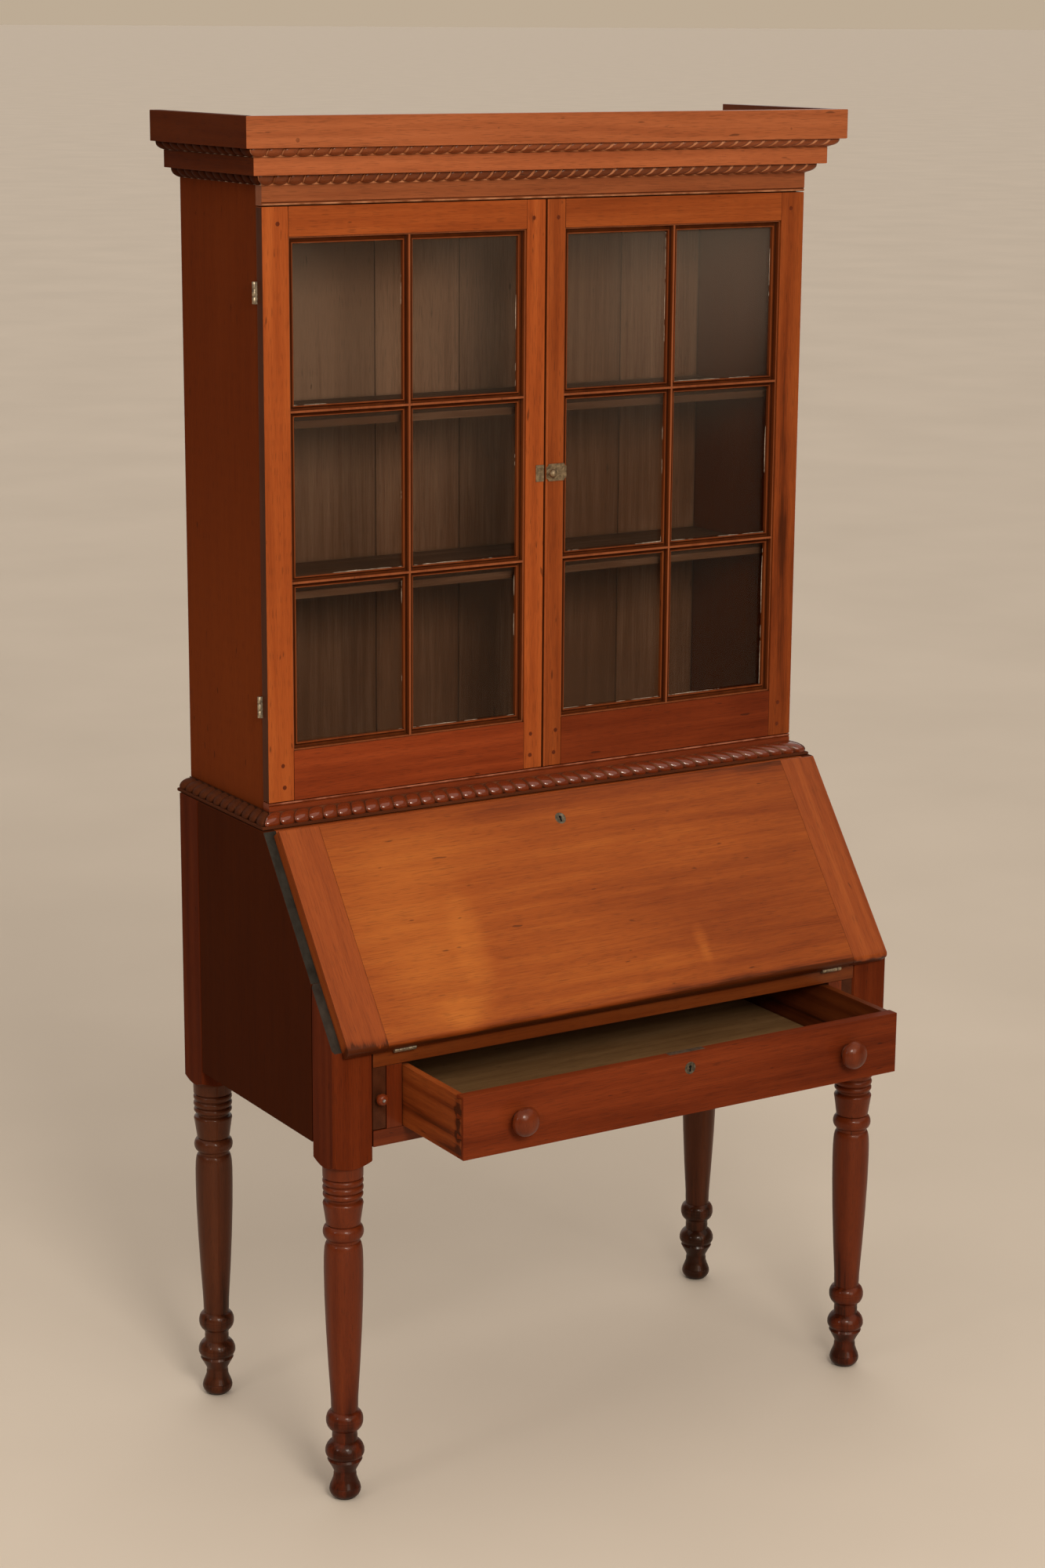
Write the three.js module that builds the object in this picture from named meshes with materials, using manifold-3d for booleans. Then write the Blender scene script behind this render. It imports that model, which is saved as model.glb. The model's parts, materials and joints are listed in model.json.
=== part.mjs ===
// A secretary desk in two parts: a slant-front desk with one wide drawer on four turned legs,
// and a bookcase with two glazed doors standing on it.
// Millimetres, +Z up, +X to the right as seen from the front, the front facing -Y.
import * as THREE from "three";
import { mergeVertices } from "three/addons/utils/BufferGeometryUtils.js";
import Module from "manifold-3d";

const wasm = await Module();
wasm.setup();

// ---- driving dimensions ------------------------------------------------------------------
const GAP = 0.3; // joint line between two boards that touch
const OBJECT_CENTRE_Y = 160; // middle of the whole object, drawer standing open, from the front posts

const DESK_WIDTH = 1067;
const DESK_DEPTH = 528;
const POST = 70; // square part of each leg
const POST_BOTTOM_Z = 573; // where the square's arrises start to run into the turning
const COLLAR_Z = 562; // top of the turned part
const APRON_Z = 594; // underside of the case
const OPENING_Z = [620.5, 723.5]; // drawer opening and loper slots
const DECK_Z = 748; // writing surface
const SLANT_FOOT_Z = 757; // where the slant leaves the front face
const SLANT_TOP_Y = 225; // where the slant meets the top
const DESK_TOP_Z = 1057;
const SIDE_THICKNESS = 22;
const RAIL_THICKNESS = 20;
const DECK_THICKNESS = 18;
const LID_RAIL_DEPTH = 45; // the rail under the lid, back from the front face
const BACK_THICKNESS = 12;

const LID_THICKNESS = 22;
const LID_LENGTH = 377;
const LID_HALF_WIDTH = 518;
const CLEAT_WIDTH = 70;
const LID_STANDOFF = 0.5; // between the closed lid and the slanted edges
const LID_PIVOT_DROP = 11; // how far the pivot lies down the slant from the front face

const DRAWER_OPEN = 186; // the drawer stands this far out
const DRAWER_LENGTH = 436;
const DRAWER_HALF_WIDTH = 411.6;
const DRAWER_Z = [621.2, 722];
const DRAWER_SIDE = 12;
const DRAWER_SIDE_TOP_Z = 720;
const DRAWER_BACK_Z = [636, 712];
const DRAWER_BOTTOM_Z = [627.7, 635.7];
const DRAWER_KNOB_X = 312;

const LOPER_X = [440.1, 462.9];
const LOPER_Y = [2, 452];
const LOPER_Z = [621, 723.2];

const BOOKCASE_HALF_WIDTH = 505.2;
const BOOKCASE_BACK_Y = 540;
const BOOKCASE_TOP_Z = 2093.5;
const BOOKCASE_SIDE = 20;
const BOOKCASE_CEILING_Z = [2040, 2058];
const BOOKCASE_FLOOR_Z = [1066, 1086];
const SHELF_THICKNESS = 12;
const SHELF_FRONT_Y = 290;
const SHELF_TOPS_Z = { shelf_upper: 1688, shelf_lower: 1420 };

const DOOR_FACE_Y = 256;
const DOOR_THICKNESS = 20;
const DOOR_X = [1.5, 506.4]; // meeting edge and hinge edge
const DOOR_Z = [1093.5, 2018.5];
const HINGE_STILE = 45;
const LOCK_STILE = 34.5;
const TOP_RAIL = 45.5;
const BOTTOM_RAIL = 79.5;
const MUNTIN_WIDTH = 17;
const GLASS_THICKNESS = 2.3;
const DOOR_PIVOT = { x: 510, y: 277.6 };
const DOOR_HINGE_Z = { upper: 1889, lower: 1245 };
const DOOR_HINGE_HEIGHT = 34;
const DOOR_HINGE_RADIUS = 3.2;
const DOOR_LEAF = { edgeX: 488, thickness: 1.5, inset: 0.1 }; // let into the back of the stile

const LATCH = { x: 9, z: 1582, tongue: 20, heel: 6.5 }; // heel: room round the tongue's square end
const TONGUE_Y = [263, 267]; // the latch tongue's thickness, in the middle of the stiles
const LATCH_PLATE = { x: [2.5, 41], half: 14, corner: 4 };
const CORNICE_TOP_Z = 2154.5;

const HALF_DESK = DESK_WIDTH / 2;
const INNER_X = HALF_DESK - POST - GAP; // rails run between the front posts to this
const INNER_BACK_Y = DESK_DEPTH - BACK_THICKNESS - GAP;
const SLANT_ANGLE = Math.atan2(DESK_TOP_Z - SLANT_FOOT_Z, SLANT_TOP_Y);
const slantZ = (y) => SLANT_FOOT_Z + y * Math.tan(SLANT_ANGLE);
const LID_PIVOT = {
  y: -LID_PIVOT_DROP * Math.cos(SLANT_ANGLE) - LID_STANDOFF * Math.sin(SLANT_ANGLE),
  z: SLANT_FOOT_Z - LID_PIVOT_DROP * Math.sin(SLANT_ANGLE) + LID_STANDOFF * Math.cos(SLANT_ANGLE),
};

// ---- materials ---------------------------------------------------------------------------
const wood = (colour) => new THREE.MeshStandardMaterial({ color: colour, roughness: 0.38, metalness: 0 });
const metal = (colour) => new THREE.MeshStandardMaterial({ color: colour, roughness: 0.5, metalness: 0.9 });
const CHERRY = wood(0x8f4420);
const CHERRY_DARK = wood(0x6b2f17);
const POPLAR = wood(0x8a7a58);
const CASE_INSIDE = wood(0x4b3629);
const BRASS = metal(0x8f7a55);
const IRON = metal(0x6a625a);
const GLASS = new THREE.MeshStandardMaterial({
  color: 0xdfe6e2, roughness: 0.05, metalness: 0, transparent: true, opacity: 0.3,
});

// ---- shape helpers -----------------------------------------------------------------------
const object = new THREE.Group();
object.position.y = -OBJECT_CENTRE_Y;

function add(parent, name, material, geometry) {
  const mesh = new THREE.Mesh(geometry, material);
  mesh.name = name;
  parent.add(mesh);
  return mesh;
}

// A board between two corners.
function board([x0, x1], [y0, y1], [z0, z1]) {
  const geometry = new THREE.BoxGeometry(x1 - x0, y1 - y0, z1 - z0);
  return geometry.translate((x0 + x1) / 2, (y0 + y1) / 2, (z0 + z1) / 2);
}

// The same span on the left (side -1) or right (side 1) of the centre line.
const spanOf = (side, [near, far]) => (side > 0 ? [near, far] : [-far, -near]);

function extruded(points, length, basis) {
  const shape = new THREE.Shape(points.map(([u, v]) => new THREE.Vector2(u, v)));
  const geometry = new THREE.ExtrudeGeometry(shape, { depth: length, bevelEnabled: false });
  return geometry.applyMatrix4(basis);
}

// A section drawn in Y and Z, run along X.
function alongX(points, [x0, x1]) {
  const basis = new THREE.Matrix4().makeBasis(
    new THREE.Vector3(0, 1, 0), new THREE.Vector3(0, 0, 1), new THREE.Vector3(1, 0, 0),
  );
  return extruded(points, x1 - x0, basis).translate(x0, 0, 0);
}

// A section drawn in X and Z, run along Y.
function alongY(points, [y0, y1]) {
  const basis = new THREE.Matrix4().makeBasis(
    new THREE.Vector3(1, 0, 0), new THREE.Vector3(0, 0, 1), new THREE.Vector3(0, -1, 0),
  );
  return extruded(points, y1 - y0, basis).translate(0, y1, 0);
}

// A turning about +Z from [height, radius] pairs, closed on its axis at both ends.
function turned(profile, segments) {
  const ends = [[profile[0][0], 0], ...profile, [profile.at(-1)[0], 0]];
  const points = ends.map(([height, radius]) => new THREE.Vector2(radius, height));
  return new THREE.LatheGeometry(points, segments).rotateX(Math.PI / 2);
}

const cylinder = (radius, [z0, z1], segments = 12) => turned([[z0, radius], [z1, radius]], segments);

function solid(geometry) {
  const bare = geometry.clone();
  bare.deleteAttribute("normal");
  bare.deleteAttribute("uv");
  const merged = mergeVertices(bare, 1e-4);
  const mesh = new wasm.Mesh({
    numProp: 3,
    vertProperties: new Float32Array(merged.attributes.position.array),
    triVerts: new Uint32Array(merged.index.array),
  });
  return new wasm.Manifold(mesh);
}

function geometryOf(manifold) {
  const mesh = manifold.getMesh();
  const geometry = new THREE.BufferGeometry();
  geometry.setAttribute("position", new THREE.BufferAttribute(mesh.vertProperties, 3));
  geometry.setIndex(new THREE.BufferAttribute(mesh.triVerts, 1));
  geometry.computeVertexNormals();
  return geometry;
}

const joined = (first, ...rest) =>
  geometryOf(rest.reduce((sum, piece) => sum.add(solid(piece)), solid(first)));
const cut = (first, ...tools) =>
  geometryOf(tools.reduce((rest, tool) => rest.subtract(solid(tool)), solid(first)));
const common = (first, second) => geometryOf(solid(first).intersect(solid(second)));

// A moulding that runs round three sides of the bookcase, mitred at the two front corners.
// The section is [distance out from the case, height], listed anticlockwise.
function threeSidedMoulding(section, halfWidth, frontY, backY) {
  const stations = [
    ([out, z]) => [-halfWidth - out, backY, z],
    ([out, z]) => [-halfWidth - out, frontY - out, z],
    ([out, z]) => [halfWidth + out, frontY - out, z],
    ([out, z]) => [halfWidth + out, backY, z],
  ];
  const count = section.length;
  const positions = stations.flatMap((place) => section.flatMap(place));
  const faces = [];
  for (let s = 0; s < stations.length - 1; s++) {
    for (let i = 0; i < count; i++) {
      const a = s * count + i;
      const b = s * count + ((i + 1) % count);
      faces.push(a, b + count, b, a, a + count, b + count);
    }
  }
  const outline = section.map(([out, z]) => new THREE.Vector2(out, z));
  const last = (stations.length - 1) * count;
  for (const [a, b, c] of THREE.ShapeUtils.triangulateShape(outline, [])) {
    faces.push(a, b, c, last + a, last + c, last + b);
  }
  const geometry = new THREE.BufferGeometry();
  geometry.setAttribute("position", new THREE.Float32BufferAttribute(positions, 3));
  geometry.setIndex(faces);
  geometry.computeVertexNormals();
  return geometry;
}

// ---- desk --------------------------------------------------------------------------------
// Height and radius up a turned leg: foot, ball, ring, long vase, ring, flare and a reeded neck.
const LEG_PROFILE = [
  [0, 15], [5, 21.5], [14, 23.8], [28, 20.6], [43, 18], [56, 22], [70, 27.4], [80, 29.2], [94, 25.5],
  [108, 20.2], [115, 21], [125, 27.5], [134, 29.7], [145, 26.5], [155, 21.6], [230, 25.5], [290, 28.6],
  [345, 30.6], [400, 31.2], [424, 29.5], [437, 25.6], [443, 30], [452.5, 32], [462, 29.5], [466, 27.2],
  [480, 29.1], [498, 32], [505, 26.6], [511, 31.6], [COLLAR_Z, 32.2],
];
const LEG_SEGMENTS = 14;

function leg(side, isFront) {
  const x = side * (HALF_DESK - POST / 2);
  const y = isFront ? POST / 2 : DESK_DEPTH - POST / 2;
  const front = y - POST / 2;
  const back = y + POST / 2;
  const topFront = isFront ? slantZ(0) : DESK_TOP_Z;
  const topBack = isFront ? slantZ(POST) : DESK_TOP_Z;
  const outline = [[front, COLLAR_Z], [back, COLLAR_Z], [back, topBack], [front, topFront]];
  const post = alongX(outline, [x - POST / 2, x + POST / 2]);
  // The square's lower end is turned to a cone, which leaves an arched shoulder on each face.
  const corner = POST * Math.SQRT1_2;
  const cone = turned(
    [[COLLAR_Z, LEG_PROFILE.at(-1)[1]], [POST_BOTTOM_Z, corner + 0.5], [POST_BOTTOM_Z + 4, 60], [DESK_TOP_Z + 1, 60]],
    LEG_SEGMENTS,
  );
  const square = common(post, cone.translate(x, y, 0));
  const turning = turned([...LEG_PROFILE, [COLLAR_Z + 2, 30]], LEG_SEGMENTS).translate(x, y, 0);
  return joined(square, turning);
}

function deskSide(side) {
  const y0 = POST + GAP;
  const y1 = DESK_DEPTH - POST - GAP;
  const outline = [[y0, APRON_Z], [y1, APRON_Z], [y1, DESK_TOP_Z], [SLANT_TOP_Y, DESK_TOP_Z], [y0, slantZ(y0)]];
  return alongX(outline, spanOf(side, [HALF_DESK - SIDE_THICKNESS, HALF_DESK]));
}

// The top board lies between the sides; its front edge follows the slant and its back corners
// are notched round the rear posts.
function deskTop() {
  const half = HALF_DESK - SIDE_THICKNESS - GAP;
  const bottom = DESK_TOP_Z - RAIL_THICKNESS;
  const edgeY = (z) => SLANT_TOP_Y - (DESK_TOP_Z - z) / Math.tan(SLANT_ANGLE);
  const section = [
    [edgeY(bottom), bottom], [INNER_BACK_Y, bottom], [INNER_BACK_Y, DESK_TOP_Z], [SLANT_TOP_Y, DESK_TOP_Z],
  ];
  const full = alongX(section, [-half, half]);
  return cut(full, postNotch(-1, [bottom - 1, DESK_TOP_Z + 1]), postNotch(1, [bottom - 1, DESK_TOP_Z + 1]));
}

function postNotch(side, heights) {
  return board(spanOf(side, [INNER_X, HALF_DESK]), [DESK_DEPTH - POST - GAP, DESK_DEPTH], heights);
}

function writingDeck() {
  const half = HALF_DESK - SIDE_THICKNESS - GAP;
  const heights = [DECK_Z - DECK_THICKNESS, DECK_Z];
  const cutHeights = [heights[0] - 1, heights[1] + 1];
  const full = board([-half, half], [LID_RAIL_DEPTH + GAP, INNER_BACK_Y], heights);
  const frontNotch = (side) => board(spanOf(side, [INNER_X, HALF_DESK]), [0, POST + GAP], cutHeights);
  return cut(full, frontNotch(-1), frontNotch(1), postNotch(-1, cutHeights), postNotch(1, cutHeights));
}

// The upright that parts the drawer from a loper, with the runner that both slide on.
function loperGuide(side) {
  const [wallNear, wallFar] = [DRAWER_HALF_WIDTH + 0.7, LOPER_X[0] - 0.6];
  const runnerTop = OPENING_Z[0] + 0.1;
  const runnerNear = DRAWER_HALF_WIDTH - 16;
  const wallTop = OPENING_Z[1] - GAP;
  const section = [
    [runnerNear, 600], [INNER_X, 600], [INNER_X, runnerTop], [wallFar, runnerTop],
    [wallFar, wallTop], [wallNear, wallTop], [wallNear, runnerTop], [runnerNear, runnerTop],
  ];
  const behind = alongY(section.map(([x, z]) => [side * x, z]), [RAIL_THICKNESS + GAP, INNER_BACK_Y]);
  const front = board(spanOf(side, [wallNear, wallFar]), [0, RAIL_THICKNESS + 10], [runnerTop, wallTop]);
  return joined(behind, front);
}

// A row of boxes for letters on the writing surface, its uprights let into one shelf.
const GALLERY = { half: 460, y: [345, INNER_BACK_Y - GAP], z: [DECK_Z + GAP, 1036.4], board: 9, shelfZ: 862 };
function gallery() {
  const { half, y, z, board: thick, shelfZ } = GALLERY;
  const through = [y[0] - 1, y[1] + 1];
  const cells = [];
  const row = (count, [low, high]) => {
    const width = (2 * half - thick * (count + 1)) / count;
    for (let i = 0; i < count; i++) {
      const left = -half + thick + i * (width + thick);
      cells.push(board([left, left + width], through, [low, high]));
    }
  };
  row(3, [z[0] + thick, shelfZ]);
  row(6, [shelfZ + thick, z[1] - thick]);
  return cut(board([-half, half], y, z), ...cells);
}

function buildDesk() {
  const rails = [-INNER_X, INNER_X];
  for (const [word, isFront] of [["front", true], ["back", false]]) {
    add(object, `leg_${word}_left`, CHERRY_DARK, leg(-1, isFront));
    add(object, `leg_${word}_right`, CHERRY_DARK, leg(1, isFront));
  }
  add(object, "desk_side_left", CHERRY_DARK, deskSide(-1));
  add(object, "desk_side_right", CHERRY_DARK, deskSide(1));
  add(object, "desk_back", POPLAR, board(rails, [DESK_DEPTH - BACK_THICKNESS, DESK_DEPTH], [APRON_Z, DESK_TOP_Z - GAP]));
  add(object, "desk_top", CHERRY, deskTop());
  add(object, "writing_deck", CHERRY, writingDeck());
  add(object, "lid_rail", CHERRY, board(rails, [0, LID_RAIL_DEPTH], [OPENING_Z[1], DECK_Z]));
  add(object, "apron_rail", CHERRY, board(rails, [0, RAIL_THICKNESS], [APRON_Z, OPENING_Z[0] - 0.2]));
  add(object, "loper_guide_left", CHERRY, loperGuide(-1));
  add(object, "loper_guide_right", CHERRY, loperGuide(1));
  add(object, "letter_gallery", CHERRY, gallery());
}

// ---- lid ---------------------------------------------------------------------------------
// Drawn flat: Y up the slant from the pivot, Z out of the face, then leaned onto the slant.
const LID_HINGE = { x: 411, half: 19.5, radius: 3.8, leaf: 24 };

function lidPanel() {
  const half = LID_HALF_WIDTH - CLEAT_WIDTH - GAP;
  const recesses = [-1, 1].flatMap((side) => {
    const span = spanOf(side, [LID_HINGE.x - LID_HINGE.half - 0.4, LID_HINGE.x + LID_HINGE.half + 0.4]);
    const round = cylinder(LID_HINGE.radius + 0.5, span).rotateY(Math.PI / 2);
    return [board(span, [-1, LID_HINGE.leaf + 0.4], [-1, 2.1]), round];
  });
  return cut(board([-half, half], [0, LID_LENGTH], [0, LID_THICKNESS]), ...recesses);
}

function lidHinge(side) {
  const span = spanOf(side, [LID_HINGE.x - LID_HINGE.half, LID_HINGE.x + LID_HINGE.half]);
  const barrel = cylinder(LID_HINGE.radius, span).rotateY(Math.PI / 2);
  return joined(barrel, board(span, [0, LID_HINGE.leaf], [0.2, 1.7]));
}

function buildLid() {
  const lid = new THREE.Group();
  lid.position.set(0, LID_PIVOT.y, LID_PIVOT.z);
  lid.rotation.x = SLANT_ANGLE;
  object.add(lid);
  add(lid, "lid_panel", CHERRY, lidPanel());
  for (const [word, side] of [["left", -1], ["right", 1]]) {
    const span = spanOf(side, [LID_HALF_WIDTH - CLEAT_WIDTH, LID_HALF_WIDTH]);
    add(lid, `lid_cleat_${word}`, CHERRY, board(span, [0, LID_LENGTH], [0, LID_THICKNESS]));
    add(lid, `lid_hinge_${word}`, IRON, lidHinge(side));
  }
}

// ---- drawer ------------------------------------------------------------------------------
const KNOB_PROFILE = [[0, 13], [5, 10], [10, 11.5], [15, 21], [21, 24], [28, 21.5], [32, 13], [33.7, 4]];
const LOPER_KNOB_PROFILE = [[0, 6], [4, 4.5], [7, 7.5], [10, 9.5], [14, 7.5], [16, 3]];
const outOfFront = (profile, segments) => turned(profile, segments).rotateX(Math.PI / 2);

function buildDrawer() {
  const front = -DRAWER_OPEN;
  const inner = front + RAIL_THICKNESS + GAP;
  const back = front + DRAWER_LENGTH;
  const insideHalf = DRAWER_HALF_WIDTH - 0.4 - DRAWER_SIDE - GAP;
  const middleZ = (DRAWER_Z[0] + DRAWER_Z[1]) / 2;
  add(object, "drawer_front", CHERRY, board([-DRAWER_HALF_WIDTH, DRAWER_HALF_WIDTH], [front, inner - GAP], DRAWER_Z));
  for (const [word, side] of [["left", -1], ["right", 1]]) {
    const span = spanOf(side, [insideHalf + GAP, DRAWER_HALF_WIDTH - 0.4]);
    add(object, `drawer_side_${word}`, POPLAR, board(span, [inner, back], [DRAWER_Z[0], DRAWER_SIDE_TOP_Z]));
    const knob = outOfFront(KNOB_PROFILE, 14);
    add(object, `drawer_knob_${word}`, CHERRY_DARK, knob).position.set(side * DRAWER_KNOB_X, front - GAP, middleZ);
  }
  const inside = [-insideHalf, insideHalf];
  add(object, "drawer_back", POPLAR, board(inside, [back - DRAWER_SIDE, back], DRAWER_BACK_Z));
  add(object, "drawer_bottom", POPLAR, board(inside, [inner, back], DRAWER_BOTTOM_Z));
}

// ---- lopers: the two slides that carry the open lid ---------------------------------------
function buildLopers() {
  const middleZ = (LOPER_Z[0] + LOPER_Z[1]) / 2;
  const middleX = (LOPER_X[0] + LOPER_X[1]) / 2;
  for (const [word, side] of [["left", -1], ["right", 1]]) {
    add(object, `loper_${word}`, CHERRY, board(spanOf(side, LOPER_X), LOPER_Y, LOPER_Z));
    const knob = add(object, `loper_knob_${word}`, CHERRY_DARK, outOfFront(LOPER_KNOB_PROFILE, 12));
    knob.position.set(side * middleX, LOPER_Y[0] - GAP, middleZ);
  }
}

// ---- bookcase ----------------------------------------------------------------------------
const MOULDING_HALF = DOOR_X[1] + GAP;
const MOULDING_FRONT = DOOR_FACE_Y - GAP;
const OUT = GAP; // a moulding stands this far off the case

// Rope on a small fillet, round the foot of the bookcase.
const WAIST_ROPE = [
  [OUT, 1057.3], [24, 1057.3], [24, 1062], [20.5, 1063.2], [23, 1067], [23.5, 1071], [21.5, 1076],
  [15, 1080], [OUT, 1080],
];
// Rope below a plain fascia, under the main cornice.
const CORNICE_LOWER = [
  [OUT, 2051], [8, 2051], [13.5, 2053.6], [15.5, 2058.5], [13.5, 2063.4], [11, 2066], [26, 2066],
  [26, BOOKCASE_TOP_Z], [OUT, BOOKCASE_TOP_Z],
];
// Rope and the tall top fascia, on a bed that rests on the lower fascia.
const CORNICE_UPPER = [
  [12, BOOKCASE_TOP_Z + GAP], [36, BOOKCASE_TOP_Z + GAP], [40.5, 2096.5], [42, 2100.5], [40.5, 2104.5],
  [37, 2107], [49, 2107], [49, CORNICE_TOP_Z], [29, CORNICE_TOP_Z], [29, 2112], [12, 2112],
];

function buildBookcase() {
  const behindDoors = DOOR_FACE_Y + DOOR_THICKNESS + 0.4;
  const inside = BOOKCASE_HALF_WIDTH - BOOKCASE_SIDE - GAP;
  const backFront = BOOKCASE_BACK_Y - BACK_THICKNESS;
  const full = [DESK_TOP_Z + GAP, BOOKCASE_TOP_Z];
  for (const [word, side] of [["left", -1], ["right", 1]]) {
    const span = spanOf(side, [BOOKCASE_HALF_WIDTH - BOOKCASE_SIDE, BOOKCASE_HALF_WIDTH]);
    add(object, `bookcase_side_${word}`, CHERRY_DARK, board(span, [behindDoors, BOOKCASE_BACK_Y], full));
  }
  const across = (y0, heights) => board([-inside, inside], [y0, backFront - GAP], heights);
  add(object, "bookcase_back", CASE_INSIDE, board([-inside, inside], [backFront, BOOKCASE_BACK_Y], full));
  add(object, "bookcase_top", CASE_INSIDE, across(behindDoors, BOOKCASE_CEILING_Z));
  add(object, "bookcase_bottom", CASE_INSIDE, across(behindDoors, BOOKCASE_FLOOR_Z));
  for (const [name, top] of Object.entries(SHELF_TOPS_Z)) {
    add(object, name, CASE_INSIDE, across(SHELF_FRONT_Y, [top - SHELF_THICKNESS, top]));
  }
  const rail = (heights) => board([-DOOR_X[1], DOOR_X[1]], [DOOR_FACE_Y, DOOR_FACE_Y + DOOR_THICKNESS], heights);
  add(object, "waist_rail", CHERRY, rail([DESK_TOP_Z + GAP, DOOR_Z[0] - 1]));
  add(object, "frieze_rail", CHERRY, rail([DOOR_Z[1] + 1.5, BOOKCASE_TOP_Z]));
  const moulding = (section) => threeSidedMoulding(section, MOULDING_HALF, MOULDING_FRONT, BOOKCASE_BACK_Y);
  add(object, "waist_rope", CHERRY, moulding(WAIST_ROPE));
  add(object, "cornice_lower", CHERRY, moulding(CORNICE_LOWER));
  add(object, "cornice_upper", CHERRY, moulding(CORNICE_UPPER));
}

// ---- doors -------------------------------------------------------------------------------
const DOOR_Y = [DOOR_FACE_Y, DOOR_FACE_Y + DOOR_THICKNESS];
const GLAZING_X = [DOOR_X[0] + LOCK_STILE, DOOR_X[1] - HINGE_STILE];
const GLAZING_Z = [DOOR_Z[0] + BOTTOM_RAIL, DOOR_Z[1] - TOP_RAIL];
const BEAD = 10.5; // moulded edge round the opening

// A recess in the back of the hinge stile for each hinge leaf.
function hingeStile(side) {
  const recesses = Object.values(DOOR_HINGE_Z).map((z) => {
    const half = DOOR_HINGE_HEIGHT / 2 + 0.4;
    const depth = DOOR_LEAF.thickness + 0.4;
    return board(spanOf(side, [DOOR_LEAF.edgeX - 0.4, 508]), [DOOR_Y[1] - depth, DOOR_Y[1] + 1], [z - half, z + half]);
  });
  return cut(board(spanOf(side, [GLAZING_X[1], DOOR_X[1]]), DOOR_Y, DOOR_Z), ...recesses);
}

// The latch tongue turns in a slot cut through the meeting edges of both lock stiles.
function lockStile(side) {
  const slotY = [TONGUE_Y[0] - 0.6, TONGUE_Y[1] + 0.6];
  const slotZ = [LATCH.z - LATCH.heel, LATCH.z + LATCH.tongue + 1.5];
  const stile = board(spanOf(side, [DOOR_X[0], GLAZING_X[0]]), DOOR_Y, DOOR_Z);
  if (side < 0) return cut(stile, board([-LATCH.tongue + LATCH.x - 1, 0], slotY, slotZ));
  const spindleHole = cylinder(3, [0, 12]).rotateX(Math.PI / 2).translate(LATCH.x, slotY[0] + 1, LATCH.z);
  return cut(stile, board([0, LATCH.x + LATCH.heel], slotY, slotZ), spindleHole);
}

// The moulded edge of the opening and the bars between the panes, one bar up and two across.
function muntins(side) {
  const [x0, x1] = [GLAZING_X[0] + GAP, GLAZING_X[1] - GAP];
  const [z0, z1] = [GLAZING_Z[0] + GAP, GLAZING_Z[1] - GAP];
  const y = [DOOR_FACE_Y + 4, DOOR_FACE_Y + 16];
  const middle = (x0 + x1) / 2;
  const half = MUNTIN_WIDTH / 2;
  const bars = [z0 + BEAD - half, z0 + (z1 - z0) / 3, z0 + (2 * (z1 - z0)) / 3, z1 - BEAD + half];
  const panes = [];
  for (let row = 0; row < 3; row++) {
    const heights = [bars[row] + half, bars[row + 1] - half];
    panes.push(board(spanOf(side, [x0 + BEAD, middle - half]), [y[0] - 1, y[1] + 1], heights));
    panes.push(board(spanOf(side, [middle + half, x1 - BEAD]), [y[0] - 1, y[1] + 1], heights));
  }
  return cut(board(spanOf(side, [x0, x1]), y, [z0, z1]), ...panes);
}

function glass(side) {
  const x = [GLAZING_X[0] + GAP, GLAZING_X[1] - GAP];
  const y = DOOR_FACE_Y + 16 + GAP;
  return board(spanOf(side, x), [y, y + GLASS_THICKNESS], [GLAZING_Z[0] + GAP, GLAZING_Z[1] - GAP]);
}

function doorHinge(side, z) {
  const heights = [z - DOOR_HINGE_HEIGHT / 2, z + DOOR_HINGE_HEIGHT / 2];
  const barrel = cylinder(DOOR_HINGE_RADIUS, heights).translate(side * DOOR_PIVOT.x, DOOR_PIVOT.y, 0);
  const depths = [DOOR_Y[1] - DOOR_LEAF.thickness, DOOR_Y[1] - DOOR_LEAF.inset];
  const leaf = board(spanOf(side, [DOOR_LEAF.edgeX, DOOR_PIVOT.x]), depths, heights);
  return joined(barrel, leaf);
}

function buildDoors() {
  for (const [word, side] of [["left", -1], ["right", 1]]) {
    const between = spanOf(side, [GLAZING_X[0] + GAP, GLAZING_X[1] - GAP]);
    const name = (piece) => `door_${word}_${piece}`;
    add(object, name("stile_hinge"), CHERRY, hingeStile(side));
    add(object, name("stile_lock"), CHERRY, lockStile(side));
    add(object, name("rail_top"), CHERRY, board(between, DOOR_Y, [GLAZING_Z[1], DOOR_Z[1]]));
    add(object, name("rail_bottom"), CHERRY, board(between, DOOR_Y, [DOOR_Z[0], GLAZING_Z[0]]));
    add(object, name("muntins"), CHERRY, muntins(side));
    add(object, name("glass"), GLASS, glass(side));
    for (const [level, z] of Object.entries(DOOR_HINGE_Z)) {
      add(object, name(`hinge_${level}`), IRON, doorHinge(side, z));
    }
  }
}

// ---- latch: a plate on the right door, and a knob whose tongue reaches into the left one ---
function latchPlate() {
  const outline = [];
  const { x: [x0, x1], half, corner } = LATCH_PLATE;
  for (const [x, z] of [[x0, -half], [x1, -half], [x1, half], [x0, half]]) {
    const sx = x === x0 ? 1 : -1;
    const sz = z < 0 ? 1 : -1;
    const along = [x + sx * corner, z];
    const up = [x, z + sz * corner];
    outline.push(...(sx === sz ? [up, along] : [along, up]));
  }
  const plate = alongY(outline, [DOOR_FACE_Y - 2.2, DOOR_FACE_Y - GAP]).translate(0, 0, LATCH.z);
  const hole = cylinder(3, [-4, 4]).rotateX(Math.PI / 2).translate(LATCH.x, DOOR_FACE_Y, LATCH.z);
  return cut(plate, hole);
}

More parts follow.
